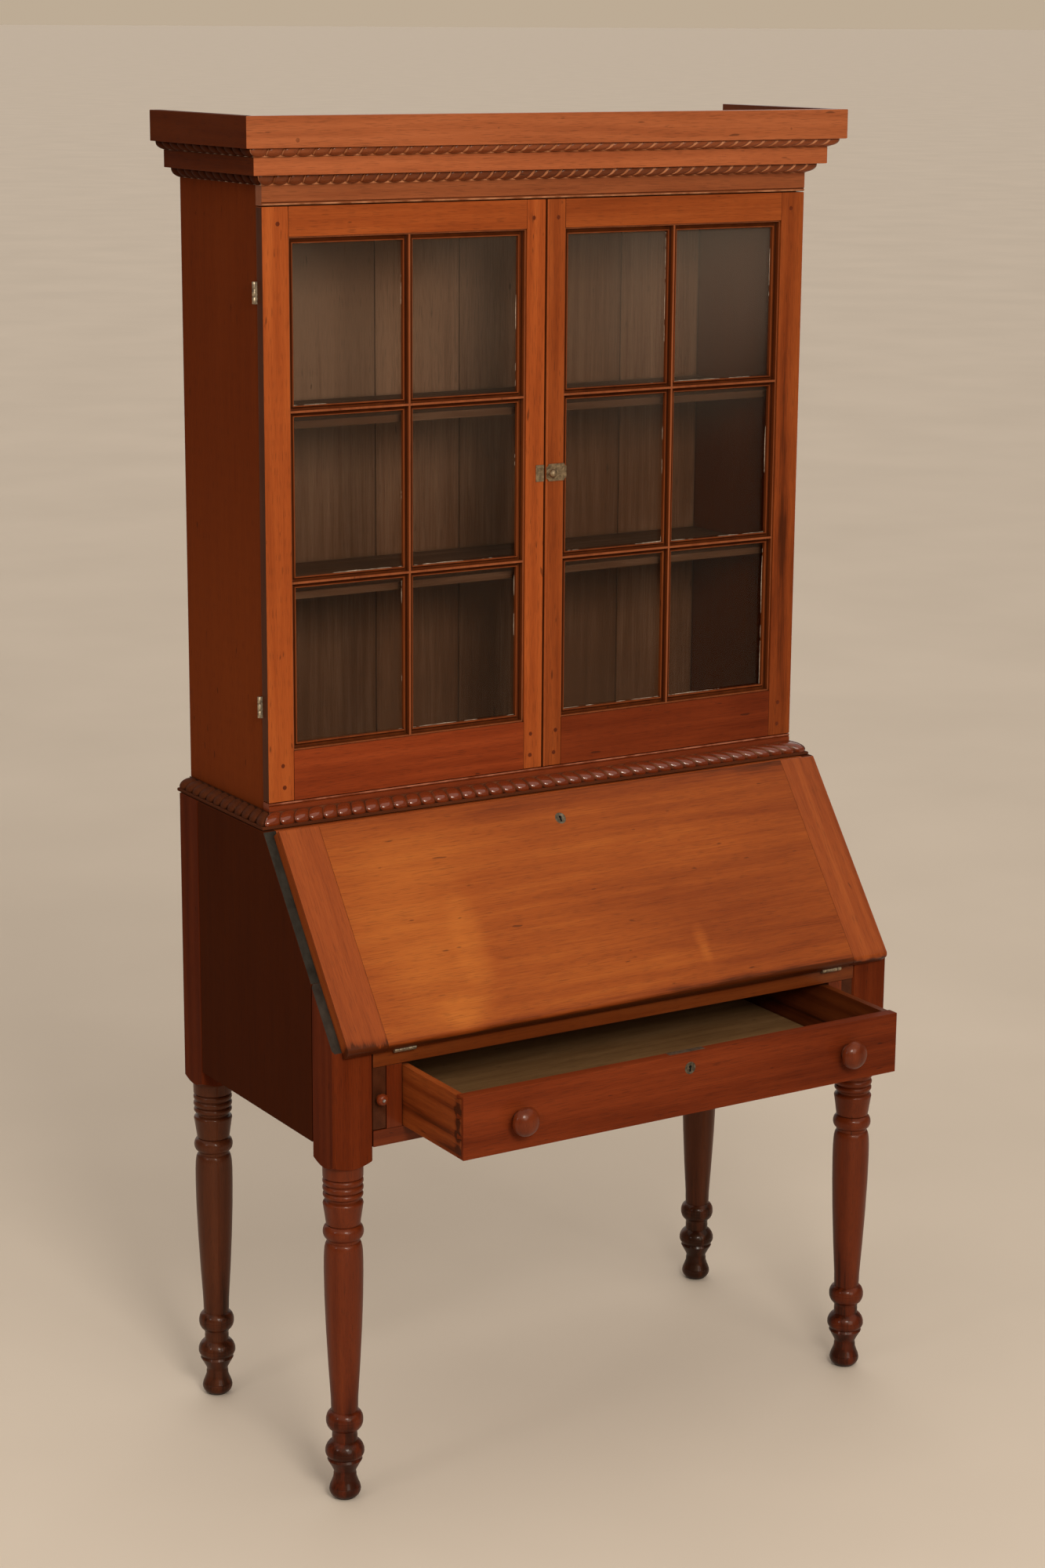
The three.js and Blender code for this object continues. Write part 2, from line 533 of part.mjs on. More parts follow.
function latchKnob() {
  const profile = [[0, 2.5], [13, 2.5], [13.2, 4.2], [15.5, 3.6], [18, 6], [22, 7], [26, 5.5], [28, 2]];
  const spindle = outOfFront(profile, 12).translate(0, 266, 0);
  const tongue = board([-4, 4], TONGUE_Y, [-4, LATCH.tongue]);
  return joined(spindle, tongue);
}

function buildLatch() {
  add(object, "latch_plate", BRASS, latchPlate());
  add(object, "latch_knob", BRASS, latchKnob()).position.set(LATCH.x, 0, LATCH.z);
}

buildDesk();
buildLid();
buildDrawer();
buildLopers();
buildBookcase();
buildDoors();
buildLatch();

export default object;
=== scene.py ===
"""Looks of a cherry secretary desk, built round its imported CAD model.

Metres, +Z up, the front facing -Y. Every piece's mesh is made in place, so its object sits at the
origin and its object coordinates are the row frame's at rest.
"""

import json
import math
import random

import bmesh
import bpy
from mathutils import Matrix, Vector


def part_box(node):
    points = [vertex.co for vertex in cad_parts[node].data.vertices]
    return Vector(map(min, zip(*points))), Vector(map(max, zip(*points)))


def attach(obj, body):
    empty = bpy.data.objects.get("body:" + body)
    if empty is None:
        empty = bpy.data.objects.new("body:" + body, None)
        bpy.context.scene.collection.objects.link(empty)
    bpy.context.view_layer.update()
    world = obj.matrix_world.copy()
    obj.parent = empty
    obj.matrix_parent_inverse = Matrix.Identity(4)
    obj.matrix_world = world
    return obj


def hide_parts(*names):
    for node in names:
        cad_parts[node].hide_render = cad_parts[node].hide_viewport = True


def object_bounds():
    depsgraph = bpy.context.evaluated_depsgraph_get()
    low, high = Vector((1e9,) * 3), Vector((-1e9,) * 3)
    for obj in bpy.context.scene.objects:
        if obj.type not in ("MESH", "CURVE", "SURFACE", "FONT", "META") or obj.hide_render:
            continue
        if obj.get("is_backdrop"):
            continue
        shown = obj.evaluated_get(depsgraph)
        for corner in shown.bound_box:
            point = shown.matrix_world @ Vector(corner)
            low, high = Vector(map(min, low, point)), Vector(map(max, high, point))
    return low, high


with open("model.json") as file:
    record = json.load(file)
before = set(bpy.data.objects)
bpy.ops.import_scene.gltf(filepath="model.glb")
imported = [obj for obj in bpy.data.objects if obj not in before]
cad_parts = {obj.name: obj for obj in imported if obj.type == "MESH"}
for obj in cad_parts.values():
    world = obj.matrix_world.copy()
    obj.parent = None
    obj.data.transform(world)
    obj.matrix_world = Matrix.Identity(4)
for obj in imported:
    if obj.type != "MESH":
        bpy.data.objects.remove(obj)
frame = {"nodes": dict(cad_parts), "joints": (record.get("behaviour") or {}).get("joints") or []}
CAD_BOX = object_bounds()
NODES = frame["nodes"]
JOINTS = {joint["name"]: joint for joint in frame["joints"]}
MM = 0.001
LEFT, RIGHT = -1, 1
SIDES = {"left": LEFT, "right": RIGHT}


# ---- node graphs ---------------------------------------------------------------------------
class Graph:
    """A material's node tree, with short calls for the nodes that the finishes use."""

    def __init__(self, name):
        self.material = bpy.data.materials.new(name)
        self.material.use_nodes = True
        self.tree = self.material.node_tree
        self.tree.nodes.clear()
        place = self.node("TexCoord")
        self.here = place.outputs["Object"]
        self.normal = place.outputs["Normal"]

    def node(self, kind, inputs=(), **settings):
        made = self.tree.nodes.new("ShaderNode" + kind)
        for key, value in settings.items():
            setattr(made, key, value)
        for key, value in dict(inputs).items():
            socket = made.inputs[key]
            if isinstance(value, bpy.types.NodeSocket):
                self.tree.links.new(value, socket)
            else:
                socket.default_value = value
        return made

    def math(self, operation, a, b=0.0, clamp=False):
        return self.node("Math", {0: a, 1: b}, operation=operation, use_clamp=clamp).outputs[0]

    def plus(self, a, b):
        return self.math("ADD", a, b)

    def minus(self, a, b):
        return self.math("SUBTRACT", a, b)

    def times(self, a, b):
        return self.math("MULTIPLY", a, b)

    def vector(self, operation, a, b=(0, 0, 0), output="Vector"):
        return self.node("VectorMath", {0: a, 1: b}, operation=operation).outputs[output]

    def ramp(self, factor, low, high):
        """0 below low and 1 above high, smooth between them."""
        inputs = {"Value": factor, "From Min": low, "From Max": high}
        return self.node("MapRange", inputs, interpolation_type="SMOOTHSTEP").outputs["Result"]

    def noise(self, vector, scale, detail=2.0, roughness=0.5):
        inputs = {"Vector": vector, "Scale": scale, "Detail": detail, "Roughness": roughness}
        return self.node("TexNoise", inputs).outputs[0]

    def stretched(self, vector, factors):
        return self.vector("MULTIPLY", vector, factors)

    def mixed(self, factor, first, second):
        return self.node("Mix", {0: factor, 6: first, 7: second}, data_type="RGBA").outputs[2]

    def colours(self, factor, stops):
        """A colour ramp through (position, colour) stops."""
        made = self.node("ValToRGB", {"Fac": factor})
        elements = made.color_ramp.elements
        while len(elements) < len(stops):
            elements.new(0.5)
        for element, (position, colour) in zip(elements, stops):
            element.position = position
            element.color = (*colour, 1)
        return made.outputs["Color"]

    def bump(self, height, strength, distance, **over):
        inputs = {"Height": height, "Strength": strength, "Distance": distance, **over}
        return self.node("Bump", inputs).outputs[0]

    def finish(self, shader):
        self.node("OutputMaterial", {"Surface": shader})
        return self.material

    def finish_principled(self, colour, roughness, **others):
        """Ends in one Principled shader; the others are its inputs with _ for each space."""
        inputs = {key.replace("_", " "): value for key, value in others.items()}
        inputs.update({"Base Color": colour, "Roughness": roughness})
        return self.finish(self.node("BsdfPrincipled", inputs).outputs[0])


# ---- wood ----------------------------------------------------------------------------------
# Dark, middle and light tones of each wood, linear.
CHERRY = ((0.190, 0.034, 0.006), (0.27, 0.054, 0.010), (0.37, 0.086, 0.017))
LID_CHERRY = ((0.185, 0.034, 0.005), (0.27, 0.058, 0.008), (0.40, 0.110, 0.016))
CHERRY_PALE = ((0.225, 0.054, 0.017), (0.295, 0.078, 0.025), (0.37, 0.105, 0.036))
CHERRY_RED = ((0.080, 0.0110, 0.0022), (0.115, 0.0175, 0.0036), (0.160, 0.027, 0.0058))
CHERRY_BROWN = ((0.098, 0.0155, 0.0026), (0.132, 0.0225, 0.0036), (0.175, 0.033, 0.0054))
CHERRY_UMBER = ((0.085, 0.0190, 0.0060), (0.125, 0.0300, 0.0098), (0.170, 0.044, 0.0150))
POPLAR = ((0.110, 0.052, 0.019), (0.175, 0.091, 0.036), (0.25, 0.145, 0.064))
STAINED = ((0.060, 0.021, 0.0095), (0.100, 0.038, 0.0185), (0.21, 0.105, 0.065))
END_GRAIN = (0.021, 0.020, 0.016)
DOOR_EDGE = (0.040, 0.010, 0.0035)
# Dark of pores and flecks, and of the painted shade in crevices.
GRIME_AND_SHADE = (0.012, 0.005, 0.003)
SHELLAC = (1.0, 0.72, 0.50, 1)

X_GRAIN, Y_GRAIN, Z_GRAIN = Vector((1, 0, 0)), Vector((0, 1, 0)), Vector((0, 0, 1))
SEEDS = random.Random(1838)


def toned(colour, factor):
    return tuple(factor * c for c in colour)


def wood(name, tones, grain, tone=1.0, blotch=1.0, figure=1.0, gloss=1.0, coat=0.09,
         end_face=None, end_colour=END_GRAIN, spots=()):
    """Old shellacked wood with its grain along one direction.

    tone lightens or darkens the whole board. end_face is a direction whose faces are dull and
    dark. spots are (centre, size, strength) places where the figure is more golden or darker,
    some of which are painted light and painted shade.
    """
    g = Graph(name)
    turn = grain.rotation_difference(X_GRAIN).to_euler()
    shift = [SEEDS.uniform(-3, 3) for _ in range(3)]
    board = g.node("Mapping", {"Vector": g.here, "Rotation": turn, "Location": shift}).outputs[0]

    def drawn_out(along, across, detail, roughness=0.5):
        """Noise with so many marks in a metre along the grain and across it."""
        return g.noise(g.stretched(board, (along, across, across)), 1.0, detail, roughness)

    # Growth rings cut at a low angle, bent by a slow noise so that they run out in long flames.
    rings = g.node("TexWave", {
        "Vector": g.stretched(board, (0.35, 5.5, 5.5)), "Scale": 2.4, "Distortion": 7.5,
        "Detail": 2.0, "Detail Scale": 0.9, "Phase Offset": g.times(drawn_out(1.6, 7, 1.5), 9.0),
    }, wave_type="RINGS", rings_direction="X").outputs["Fac"]
    streaks = drawn_out(2.0, 55, 4.0, 0.6)
    fibres = drawn_out(9, 520, 2.0)
    pores = g.ramp(drawn_out(45, 1500, 0.0), 0.60, 0.72)
    clouds = drawn_out(2.4, 9, 4.0, 0.6)
    flecks = g.ramp(drawn_out(28, 130, 1.0), 0.74, 0.80)

    total = g.times(g.minus(rings, 0.5), 0.15 * figure)
    for value, weight in ((streaks, 0.75 * figure), (fibres, 0.34), (clouds, 0.80 * blotch)):
        total = g.plus(total, g.times(g.minus(value, 0.5), weight))
    total = g.plus(total, 0.5)
    for centre, size, strength in spots:
        offset = g.vector("SUBTRACT", g.here, centre)
        reach = g.vector("LENGTH", g.stretched(offset, [1 / s for s in size]), output="Value")
        wisps = g.plus(g.times(streaks, 1.3), g.times(clouds, 1.5))
        ragged = g.plus(reach, g.minus(wisps, 1.4))
        total = g.plus(total, g.times(g.minus(1.0, g.ramp(ragged, 0.20, 1.45)), strength))
    shades = (toned(tones[0], 0.35), *tones)
    colour = g.colours(total, [(at, toned(c, tone)) for at, c in zip((0.0, 0.2, 0.5, 0.88), shades)])

    marks = g.math("MAXIMUM", g.times(pores, 0.30), g.times(flecks, 0.55))
    colour = g.mixed(marks, colour, (*GRIME_AND_SHADE, 1))
    # Painted shade: occlusion darkens crevices and joints, for dirt there and for the shade that falls there.
    occlusion = g.node("AmbientOcclusion", {"Distance": 0.012}, samples=4).outputs["AO"]
    crevice_dirt_and_shade = g.times(g.minus(1.0, g.ramp(occlusion, 0.25, 0.8)), 0.6)
    colour = g.mixed(crevice_dirt_and_shade, colour, (*GRIME_AND_SHADE, 1))
    if end_face is not None:
        facing = g.vector("DOT_PRODUCT", g.normal, end_face, output="Value")
        dull = g.times(g.ramp(facing, 0.93, 0.97), 0.93)
        speckled = g.colours(streaks, [(0.3, toned(end_colour, 0.6)), (0.7, toned(end_colour, 1.5))])
        colour = g.mixed(dull, colour, speckled)

    worn = g.noise(g.here, 9.0, detail=4.0, roughness=0.6)
    rough = g.plus(0.30 / gloss, g.times(fibres, 0.10))
    rough = g.plus(rough, g.times(g.minus(worn, 0.5), 0.30))
    relief = g.plus(g.times(fibres, 0.35), g.times(streaks, 0.65))
    relief = g.minus(relief, g.times(marks, 0.8))
    grain_bump = g.bump(relief, 0.35, 0.0004)
    hand_bump = g.bump(drawn_out(5, 14, 2.0), 0.5, 0.0035, Normal=grain_bump)
    return g.finish_principled(
        colour, rough, Normal=hand_bump, Coat_Weight=coat, Coat_Roughness=0.12,
        Specular_IOR_Level=0.17 * min(gloss, 1.0), Specular_Tint=SHELLAC)


def worn_and_highlit_wood(name, dark, light):
    """Patchy wood between a dark and a light colour: painted highlights on the rail beads, painted highlights
    on partly worn wood in the cornice ropes, and darker worn wood in the waist rope.
    """
    g = Graph(name)
    patches = g.noise(g.here, 45.0, detail=3.0)
    colour = g.colours(patches, [(0.35, dark), (0.65, light)])
    bump = g.bump(patches, 0.3, 0.0005)
    return g.finish_principled(colour, 0.4, Normal=bump, Specular_IOR_Level=0.2, Specular_Tint=SHELLAC)


# ---- metal, glass and putty ----------------------------------------------------------------
def metal(name, bright, tarnish, roughness):
    """Old metal, bright where it is rubbed and dull in between."""
    g = Graph(name)
    patches = g.noise(g.here, 160.0, detail=4.0, roughness=0.65)
    scratches = g.noise(g.stretched(g.here, (900, 140, 700)), 1.0, detail=2.0)
    colour = g.colours(patches, [(0.36, tarnish), (0.66, bright)])
    rough = g.plus(roughness, g.times(g.minus(0.6, patches), 0.5))
    bump = g.bump(g.plus(patches, scratches), 0.25, 0.0003)
    return g.finish_principled(colour, rough, Metallic=0.85, Normal=bump)


def old_glass(name):
    """Thin window glass with slow waves and a little dust, which thickens towards the top into a pale veil
    that is a painted reflection; clear enough to light the shelves.
    """
    g = Graph(name)
    waves = g.noise(g.stretched(g.here, (5, 5, 3)), 1.0, detail=1.0)
    bump = g.bump(waves, 0.30, 0.02)
    mirror = g.node("BsdfGlossy", {"Color": (1, 0.92, 0.84, 1), "Roughness": 0.015, "Normal": bump})
    clear = g.node("BsdfTransparent", {"Color": (0.93, 0.94, 0.91, 1)})
    dust = g.node("BsdfDiffuse", {"Color": (0.80, 0.62, 0.48, 1)})
    smears = g.ramp(g.noise(g.stretched(g.here, (3, 3, 1.4)), 1.0, detail=2.0), 0.20, 0.75)
    height = g.node("SeparateXYZ", {0: g.here}).outputs[2]
    # Painted reflection: the dust thickens into a pale veil towards the tops of the panes.
    dust_and_painted_veil = g.plus(g.times(g.ramp(height, 1.50, 2.05), 0.045), 0.002)
    seen = g.node("MixShader", {0: g.times(smears, dust_and_painted_veil), 1: clear.outputs[0], 2: dust.outputs[0]})
    shine = g.math("MULTIPLY", g.node("Fresnel", {"IOR": 1.5}).outputs[0], 0.14, clamp=True)
    pane = g.node("MixShader", {0: shine, 1: seen.outputs[0], 2: mirror.outputs[0]})
    return g.finish(pane.outputs[0])


def putty(name):
    g = Graph(name)
    crumbs = g.noise(g.here, 400.0, detail=3.0)
    colour = g.colours(crumbs, [(0.3, (0.20, 0.13, 0.08)), (0.7, (0.48, 0.39, 0.29))])
    return g.finish_principled(colour, 0.8, Normal=g.bump(crumbs, 0.6, 0.0004))


def pale_floor(name):
    g = Graph(name)
    cloud = g.noise(g.here, 1.2, detail=3.0)
    colour = g.colours(cloud, [(0.3, (0.56, 0.475, 0.385)), (0.7, (0.60, 0.51, 0.415))])
    return g.finish_principled(colour, 0.75)


BRASS = metal("latch_brass", (0.36, 0.26, 0.15), (0.12, 0.08, 0.045), 0.38)
IRON = metal("hinge_iron", (0.50, 0.40, 0.26), (0.14, 0.10, 0.07), 0.42)
LOCK_METAL = metal("lock_metal", (0.17, 0.135, 0.09), (0.06, 0.047, 0.032), 0.5)
STEEL = metal("screw_steel", (0.55, 0.53, 0.50), (0.20, 0.18, 0.16), 0.34)
HOLE = metal("keyhole_shadow", (0.012, 0.010, 0.008), (0.004, 0.003, 0.002), 0.8)
GLASS = old_glass("old_glass")
PUTTY = putty("glazing_putty")


# ---- meshes --------------------------------------------------------------------------------
class Solid:
    """Points and faces gathered for one mesh. Each face can have a second finish."""

    def __init__(self):
        self.points = []
        self.faces = []
        self.finish = []

    def add(self, points, faces, finish=0):
        start = len(self.points)
        self.points += [Vector(point) for point in points]
        self.faces += [tuple(start + i for i in face) for face in faces]
        self.finish += [finish] * len(faces)
        return self

    def rows(self, rows, wrap=True, caps=True, finish=0):
        """Skins rows of points that each have the same number of points."""
        count = len(rows[0])
        points = [point for row in rows for point in row]
        faces = []
        last = count if wrap else count - 1
        for r in range(len(rows) - 1):
            for i in range(last):
                j = (i + 1) % count
                faces.append((r * count + i, r * count + j, (r + 1) * count + j, (r + 1) * count + i))
        if caps:
            faces.append(tuple(range(count)))
            faces.append(tuple((len(rows) - 1) * count + i for i in range(count)))
        return self.add(points, faces, finish)

    def box(self, low, high, finish=0):
        corners = [(x, y, z) for x in (low[0], high[0]) for y in (low[1], high[1]) for z in (low[2], high[2])]
        faces = [(0, 1, 3, 2), (4, 6, 7, 5), (0, 4, 5, 1), (2, 3, 7, 6), (0, 2, 6, 4), (1, 5, 7, 3)]
        return self.add(corners, faces, finish)

    def prism(self, outline, place, low, high, finish=0):
        """An outline of (u, v) points carried from low to high by place(u, v, w)."""
        return self.rows([[place(u, v, w) for u, v in outline] for w in (low, high)], finish=finish)

    def turning(self, profile, place, segments=48, finish=0):
        """A turning of (height, radius) pairs; place(x, y, height) puts it where it belongs."""
        rows = []
        for height, radius in profile:
            angles = [2 * math.pi * i / segments for i in range(segments)]
            rows.append([place(radius * math.cos(a), radius * math.sin(a), height) for a in angles])
        return self.rows(rows, finish=finish)


def linked(name, data):
    """A new object of the scene that shows a mesh, a light or a camera."""
    made = bpy.data.objects.new(name, data)
    bpy.context.scene.collection.objects.link(made)
    return made


def solid_object(name, shape, finishes=()):
    """An object with a Solid's mesh, joined where its faces meet and facing out."""
    mesh = bpy.data.meshes.new(name)
    mesh.from_pydata(shape.points, [], shape.faces)
    for material in finishes:
        mesh.materials.append(material)
    mesh.polygons.foreach_set("material_index", shape.finish)
    worked = bmesh.new()
    worked.from_mesh(mesh)
    bmesh.ops.remove_doubles(worked, verts=worked.verts, dist=1e-7)
    bmesh.ops.recalc_face_normals(worked, faces=worked.faces)
    worked.to_mesh(mesh)
    worked.free()
    return linked(name, mesh)


def piece(name, shape, finish, body, replaces=(), bevel=0.0, smooth=40.0):
    """Makes one named object from a Solid, rides it on its body and hides the CAD parts that it replaces."""
    made = solid_object(name, shape, finish if isinstance(finish, list) else [finish])
    made.data.shade_smooth()
    made.data.set_sharp_from_angle(angle=math.radians(smooth))
    if bevel:
        round_edges(made, bevel)
    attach(made, body)
    if replaces:
        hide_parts(*replaces)
    return made


def round_edges(board, width):
    rounding = board.modifiers.new("worn edges", "BEVEL")
    rounding.width = width
    rounding.segments = 2
    rounding.limit_method = "ANGLE"
    rounding.angle_limit = math.radians(38)
    rounding.harden_normals = True


def keep(node, tones, grain, bevel=0.8 * MM, **look):
    """Carries a CAD node over in wood of its own, with slightly worn edges."""
    board = NODES[node]
    weld = board.modifiers.new("joined corners", "WELD")
    weld.merge_threshold = 1e-6
    round_edges(board, bevel)
    board.data.materials.clear()
    board.data.materials.append(wood(node + "_wood", tones, grain, **look))


def carve(target, cutters):
    """Cuts objects out of a piece and applies the result."""
    for cutter in cutters:
        cut = target.modifiers.new("cut", "BOOLEAN")
        cut.operation = "DIFFERENCE"
        cut.solver = "EXACT"
        cut.object = cutter
        target.modifiers.move(len(target.modifiers) - 1, 0)
        with bpy.context.temp_override(object=target, active_object=target):
            bpy.ops.object.modifier_apply(modifier=cut.name)
        bpy.data.objects.remove(cutter)


def arc(centre, radii, start, end, steps):
    """Points centre + radii * (cos, sin) from start to end degrees."""
    points = []
    for i in range(steps + 1):
        a = math.radians(start + (end - start) * i / steps)
        points.append((centre[0] + radii[0] * math.cos(a), centre[1] + radii[1] * math.sin(a)))
    return points


def oblong(out, z):
    """A section between two distances out and two heights."""
    return [(out[0], z[0]), (out[1], z[0]), (out[1], z[1]), (out[0], z[1])]


def upright(x, y):
    """Places a turning about a vertical axis."""
    return lambda u, v, height: (x + u, y + v, height)


def forward(x, y, z):
    """Places a turning that stands out of the front."""
    return lambda u, v, height: (x + u, y - height, z + v)


def side_on(y, z, x):
    """Places an outline drawn in (y, z) at its x."""
    return (x, y, z)


def from_above(x, y, z):
    """Places an outline drawn in (x, y) at its height."""
    return (x, y, z)


def from_front(x, z, y):
    """Places an outline drawn in (x, z) at its y."""
    return (x, y, z)


# ---- frame measures ------------------------------------------------------------------------
def span(node, axis):
    low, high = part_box(node)
    return low[axis], high[axis]


def middle(node):
    return [(low + high) / 2 for low, high in zip(*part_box(node))]


DOOR_FACE_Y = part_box("door_right_stile_hinge")[0].y
CASE_BACK_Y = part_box("bookcase_side_right")[1].y
CASE_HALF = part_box("bookcase_side_right")[1].x
RAIL_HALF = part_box("frieze_rail")[1].x
LID_PIVOT = Vector(JOINTS["lid_fall"]["pos_m"])
SLANT_RUN, SLANT_RISE = 0.6, 0.8
LID_UP = Vector((0, SLANT_RUN, SLANT_RISE))
LID_OUT = Vector((0, -SLANT_RISE, SLANT_RUN))
# Where the right, up and out of a face point.
FRONT_FACE, TOP_FACE = (X_GRAIN, Z_GRAIN, -Y_GRAIN), (X_GRAIN, Y_GRAIN, Z_GRAIN)
BACK_FACE = (-X_GRAIN, Z_GRAIN, Y_GRAIN)
LID_FACE, LID_INSIDE = (X_GRAIN, LID_UP, LID_OUT), (X_GRAIN, LID_UP, -LID_OUT)


def on_lid(x, up, out):
    """A point of the closed lid: across, up the slant from the pivot, and out of its inner face."""
    return Vector((x, LID_PIVOT.y, LID_PIVOT.z)) + LID_UP * up + LID_OUT * out


# ---- legs ----------------------------------------------------------------------------------
COLLAR_Z = 562 * MM
POST_BOTTOM_Z = 573 * MM
COLLAR_RADIUS = 32.2 * MM
LEG_SEGMENTS = 64
ARRIS_CUT = 1.4 * MM


def leg_profile():
    """Foot, ball, ring, vase, ring, flare and three reeds under the collar, in millimetres."""
    profile = [(0, 14), (1.5, 17.5)]
    profile += arc((16, 14), (14.5, 11.5), 180, 95, 6)[1:]
    profile += [(19, 24.6), (19.6, 24.0), (20.4, 24.4), (28, 21.4), (36, 18.6)]
    profile += arc((45, 27.4), (9, 9.6), -110, -60, 4)
    profile += [(56, 22.4), (66, 28.0)]
    profile += arc((80, 9), (16, 22.4), 130, 92, 4)
    profile += [(82.6, 30.7), (83.4, 31.2)]
    profile += arc((80, 9), (22, 22.4), 75, 30, 4)
    profile += [(108, 20.4), (112, 19.9), (115, 21)]
    profile += arc((134, 19), (17, 10.8), 165, 96, 5)
    profile += [(134.2, 29.2), (135.0, 29.7)]
    profile += arc((134, 19), (16, 10.8), 78, 12, 5)
    profile += [(157, 21.6), (172, 21.9), (230, 25.5), (290, 28.6), (345, 30.6), (385, 31.2), (408, 31.1)]
    profile += arc((414, 25.5), (22, 5.2), 75, 0, 4)
    profile += [(438.6, 25.6)]
    profile += arc((452.5, 23), (12.6, 9.4), 165, 15, 9)
    profile += [(466, 27.2), (480, 29.1), (497, 31.6)]
    profile += arc((498.5, 29), (5, 3.2), 80, 0, 3)
    profile += [(505.5, 26.6), (508.5, 26.6)]
    profile += arc((514.5, 27), (5, 5), 160, 20, 5)
    profile += arc((525.5, 28), (5.6, 4.4), 165, 15, 5)
    profile += arc((537, 28), (5.6, 4.4), 165, 15, 5)
    profile += [(543, 30.6), (544.4, 32.0), (COLLAR_Z / MM - 8, 32.2), (COLLAR_Z / MM, COLLAR_RADIUS / MM)]
    return [(height * MM, radius * MM) for height, radius in profile]


def leg(name, tones, tone, post_tone):
    """A square post whose arrises run into a turning through a coned shoulder."""
    low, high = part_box(name)
    x, y, _ = middle(name)
    half = (high.x - low.x) / 2
    is_front = "front" in name
    place = upright(x, y)
    angles = [2 * math.pi * (i + 0.5) / LEG_SEGMENTS for i in range(LEG_SEGMENTS)]
    rows = []
    for height, radius in leg_profile():
        rows.append([place(radius * math.cos(a), radius * math.sin(a), height) for a in angles])
    slope = (POST_BOTTOM_Z - COLLAR_Z) / (math.sqrt(2) * half - COLLAR_RADIUS)
    square, top = [], []
    for a in angles:
        c, s = math.cos(a), math.sin(a)
        reach = min(half / max(abs(c), abs(s)), (2 * half - ARRIS_CUT) / (abs(c) + abs(s)))
        square.append(place(reach * c, reach * s, COLLAR_Z + (reach - COLLAR_RADIUS) * slope))
        slanted = high.z - (half - reach * s) * SLANT_RISE / SLANT_RUN
        top.append(place(reach * c, reach * s, slanted if is_front else high.z))
    shape = Solid().rows(rows + [square, top])
    first_of_post = len(shape.faces) - LEG_SEGMENTS - 2
    shape.finish[first_of_post:-2] = [1] * LEG_SEGMENTS
    shape.finish[-1] = 1
    dark_foot = [(Vector((x, y, 0.03)), (0.1, 0.1, 0.16), -0.45)]
    turned = wood(name, tones, Z_GRAIN, tone=tone, gloss=0.8, coat=0.18, blotch=0.8, spots=dark_foot)
    post = wood(
        name + "_post", CHERRY_RED, Z_GRAIN, tone=post_tone, end_face=LID_OUT if is_front else None,
        gloss=0.35, coat=0.03, blotch=0.8)
    piece(name + "_turned", shape, [turned, post], "case", [name], smooth=32)


for word in SIDES:
    leg(f"leg_front_{word}", CHERRY_RED, 0.90, 0.86)
    leg(f"leg_back_{word}", CHERRY_UMBER, 0.62, 0.74)


# ---- rope mouldings and cornice ------------------------------------------------------------
ROPE_PITCH = 24.5 * MM
LOBE_STEPS = 10
ROPE_STEPS_ROUND = 12
ROPE_START, ROPE_SWEEP = -14, 104  # degrees round the section
ROPE_SUNK = 1.5 * MM
LOBE_FULLNESS = 0.97  # share of a half round that each lobe's outline takes


def runs():
    """The three sides of the bookcase that a moulding follows: name, start, end, outward."""
    back_left, front_left = Vector((-RAIL_HALF, CASE_BACK_Y, 0)), Vector((-RAIL_HALF, DOOR_FACE_Y, 0))
    back_right, front_right = Vector((RAIL_HALF, CASE_BACK_Y, 0)), Vector((RAIL_HALF, DOOR_FACE_Y, 0))
    return (
        ("left", back_left, front_left, Vector((-1, 0, 0))),
        ("front", front_left, front_right, Vector((0, -1, 0))),
        ("right", front_right, back_right, Vector((1, 0, 0))),
    )


def mitred(start, end, outward):
    """place(out, z, t) along one run, mitred at its front corners."""
    along = (end - start).normalized()
    start_mitre = 1 if abs(start.y - DOOR_FACE_Y) < 1e-6 else 0
    end_mitre = 1 if abs(end.y - DOOR_FACE_Y) < 1e-6 else 0

    def place(out, z, t):
        first = start - along * out * start_mitre
        last = end + along * out * end_mitre
        return first.lerp(last, t) + outward * out + Vector((0, 0, z))

    return place


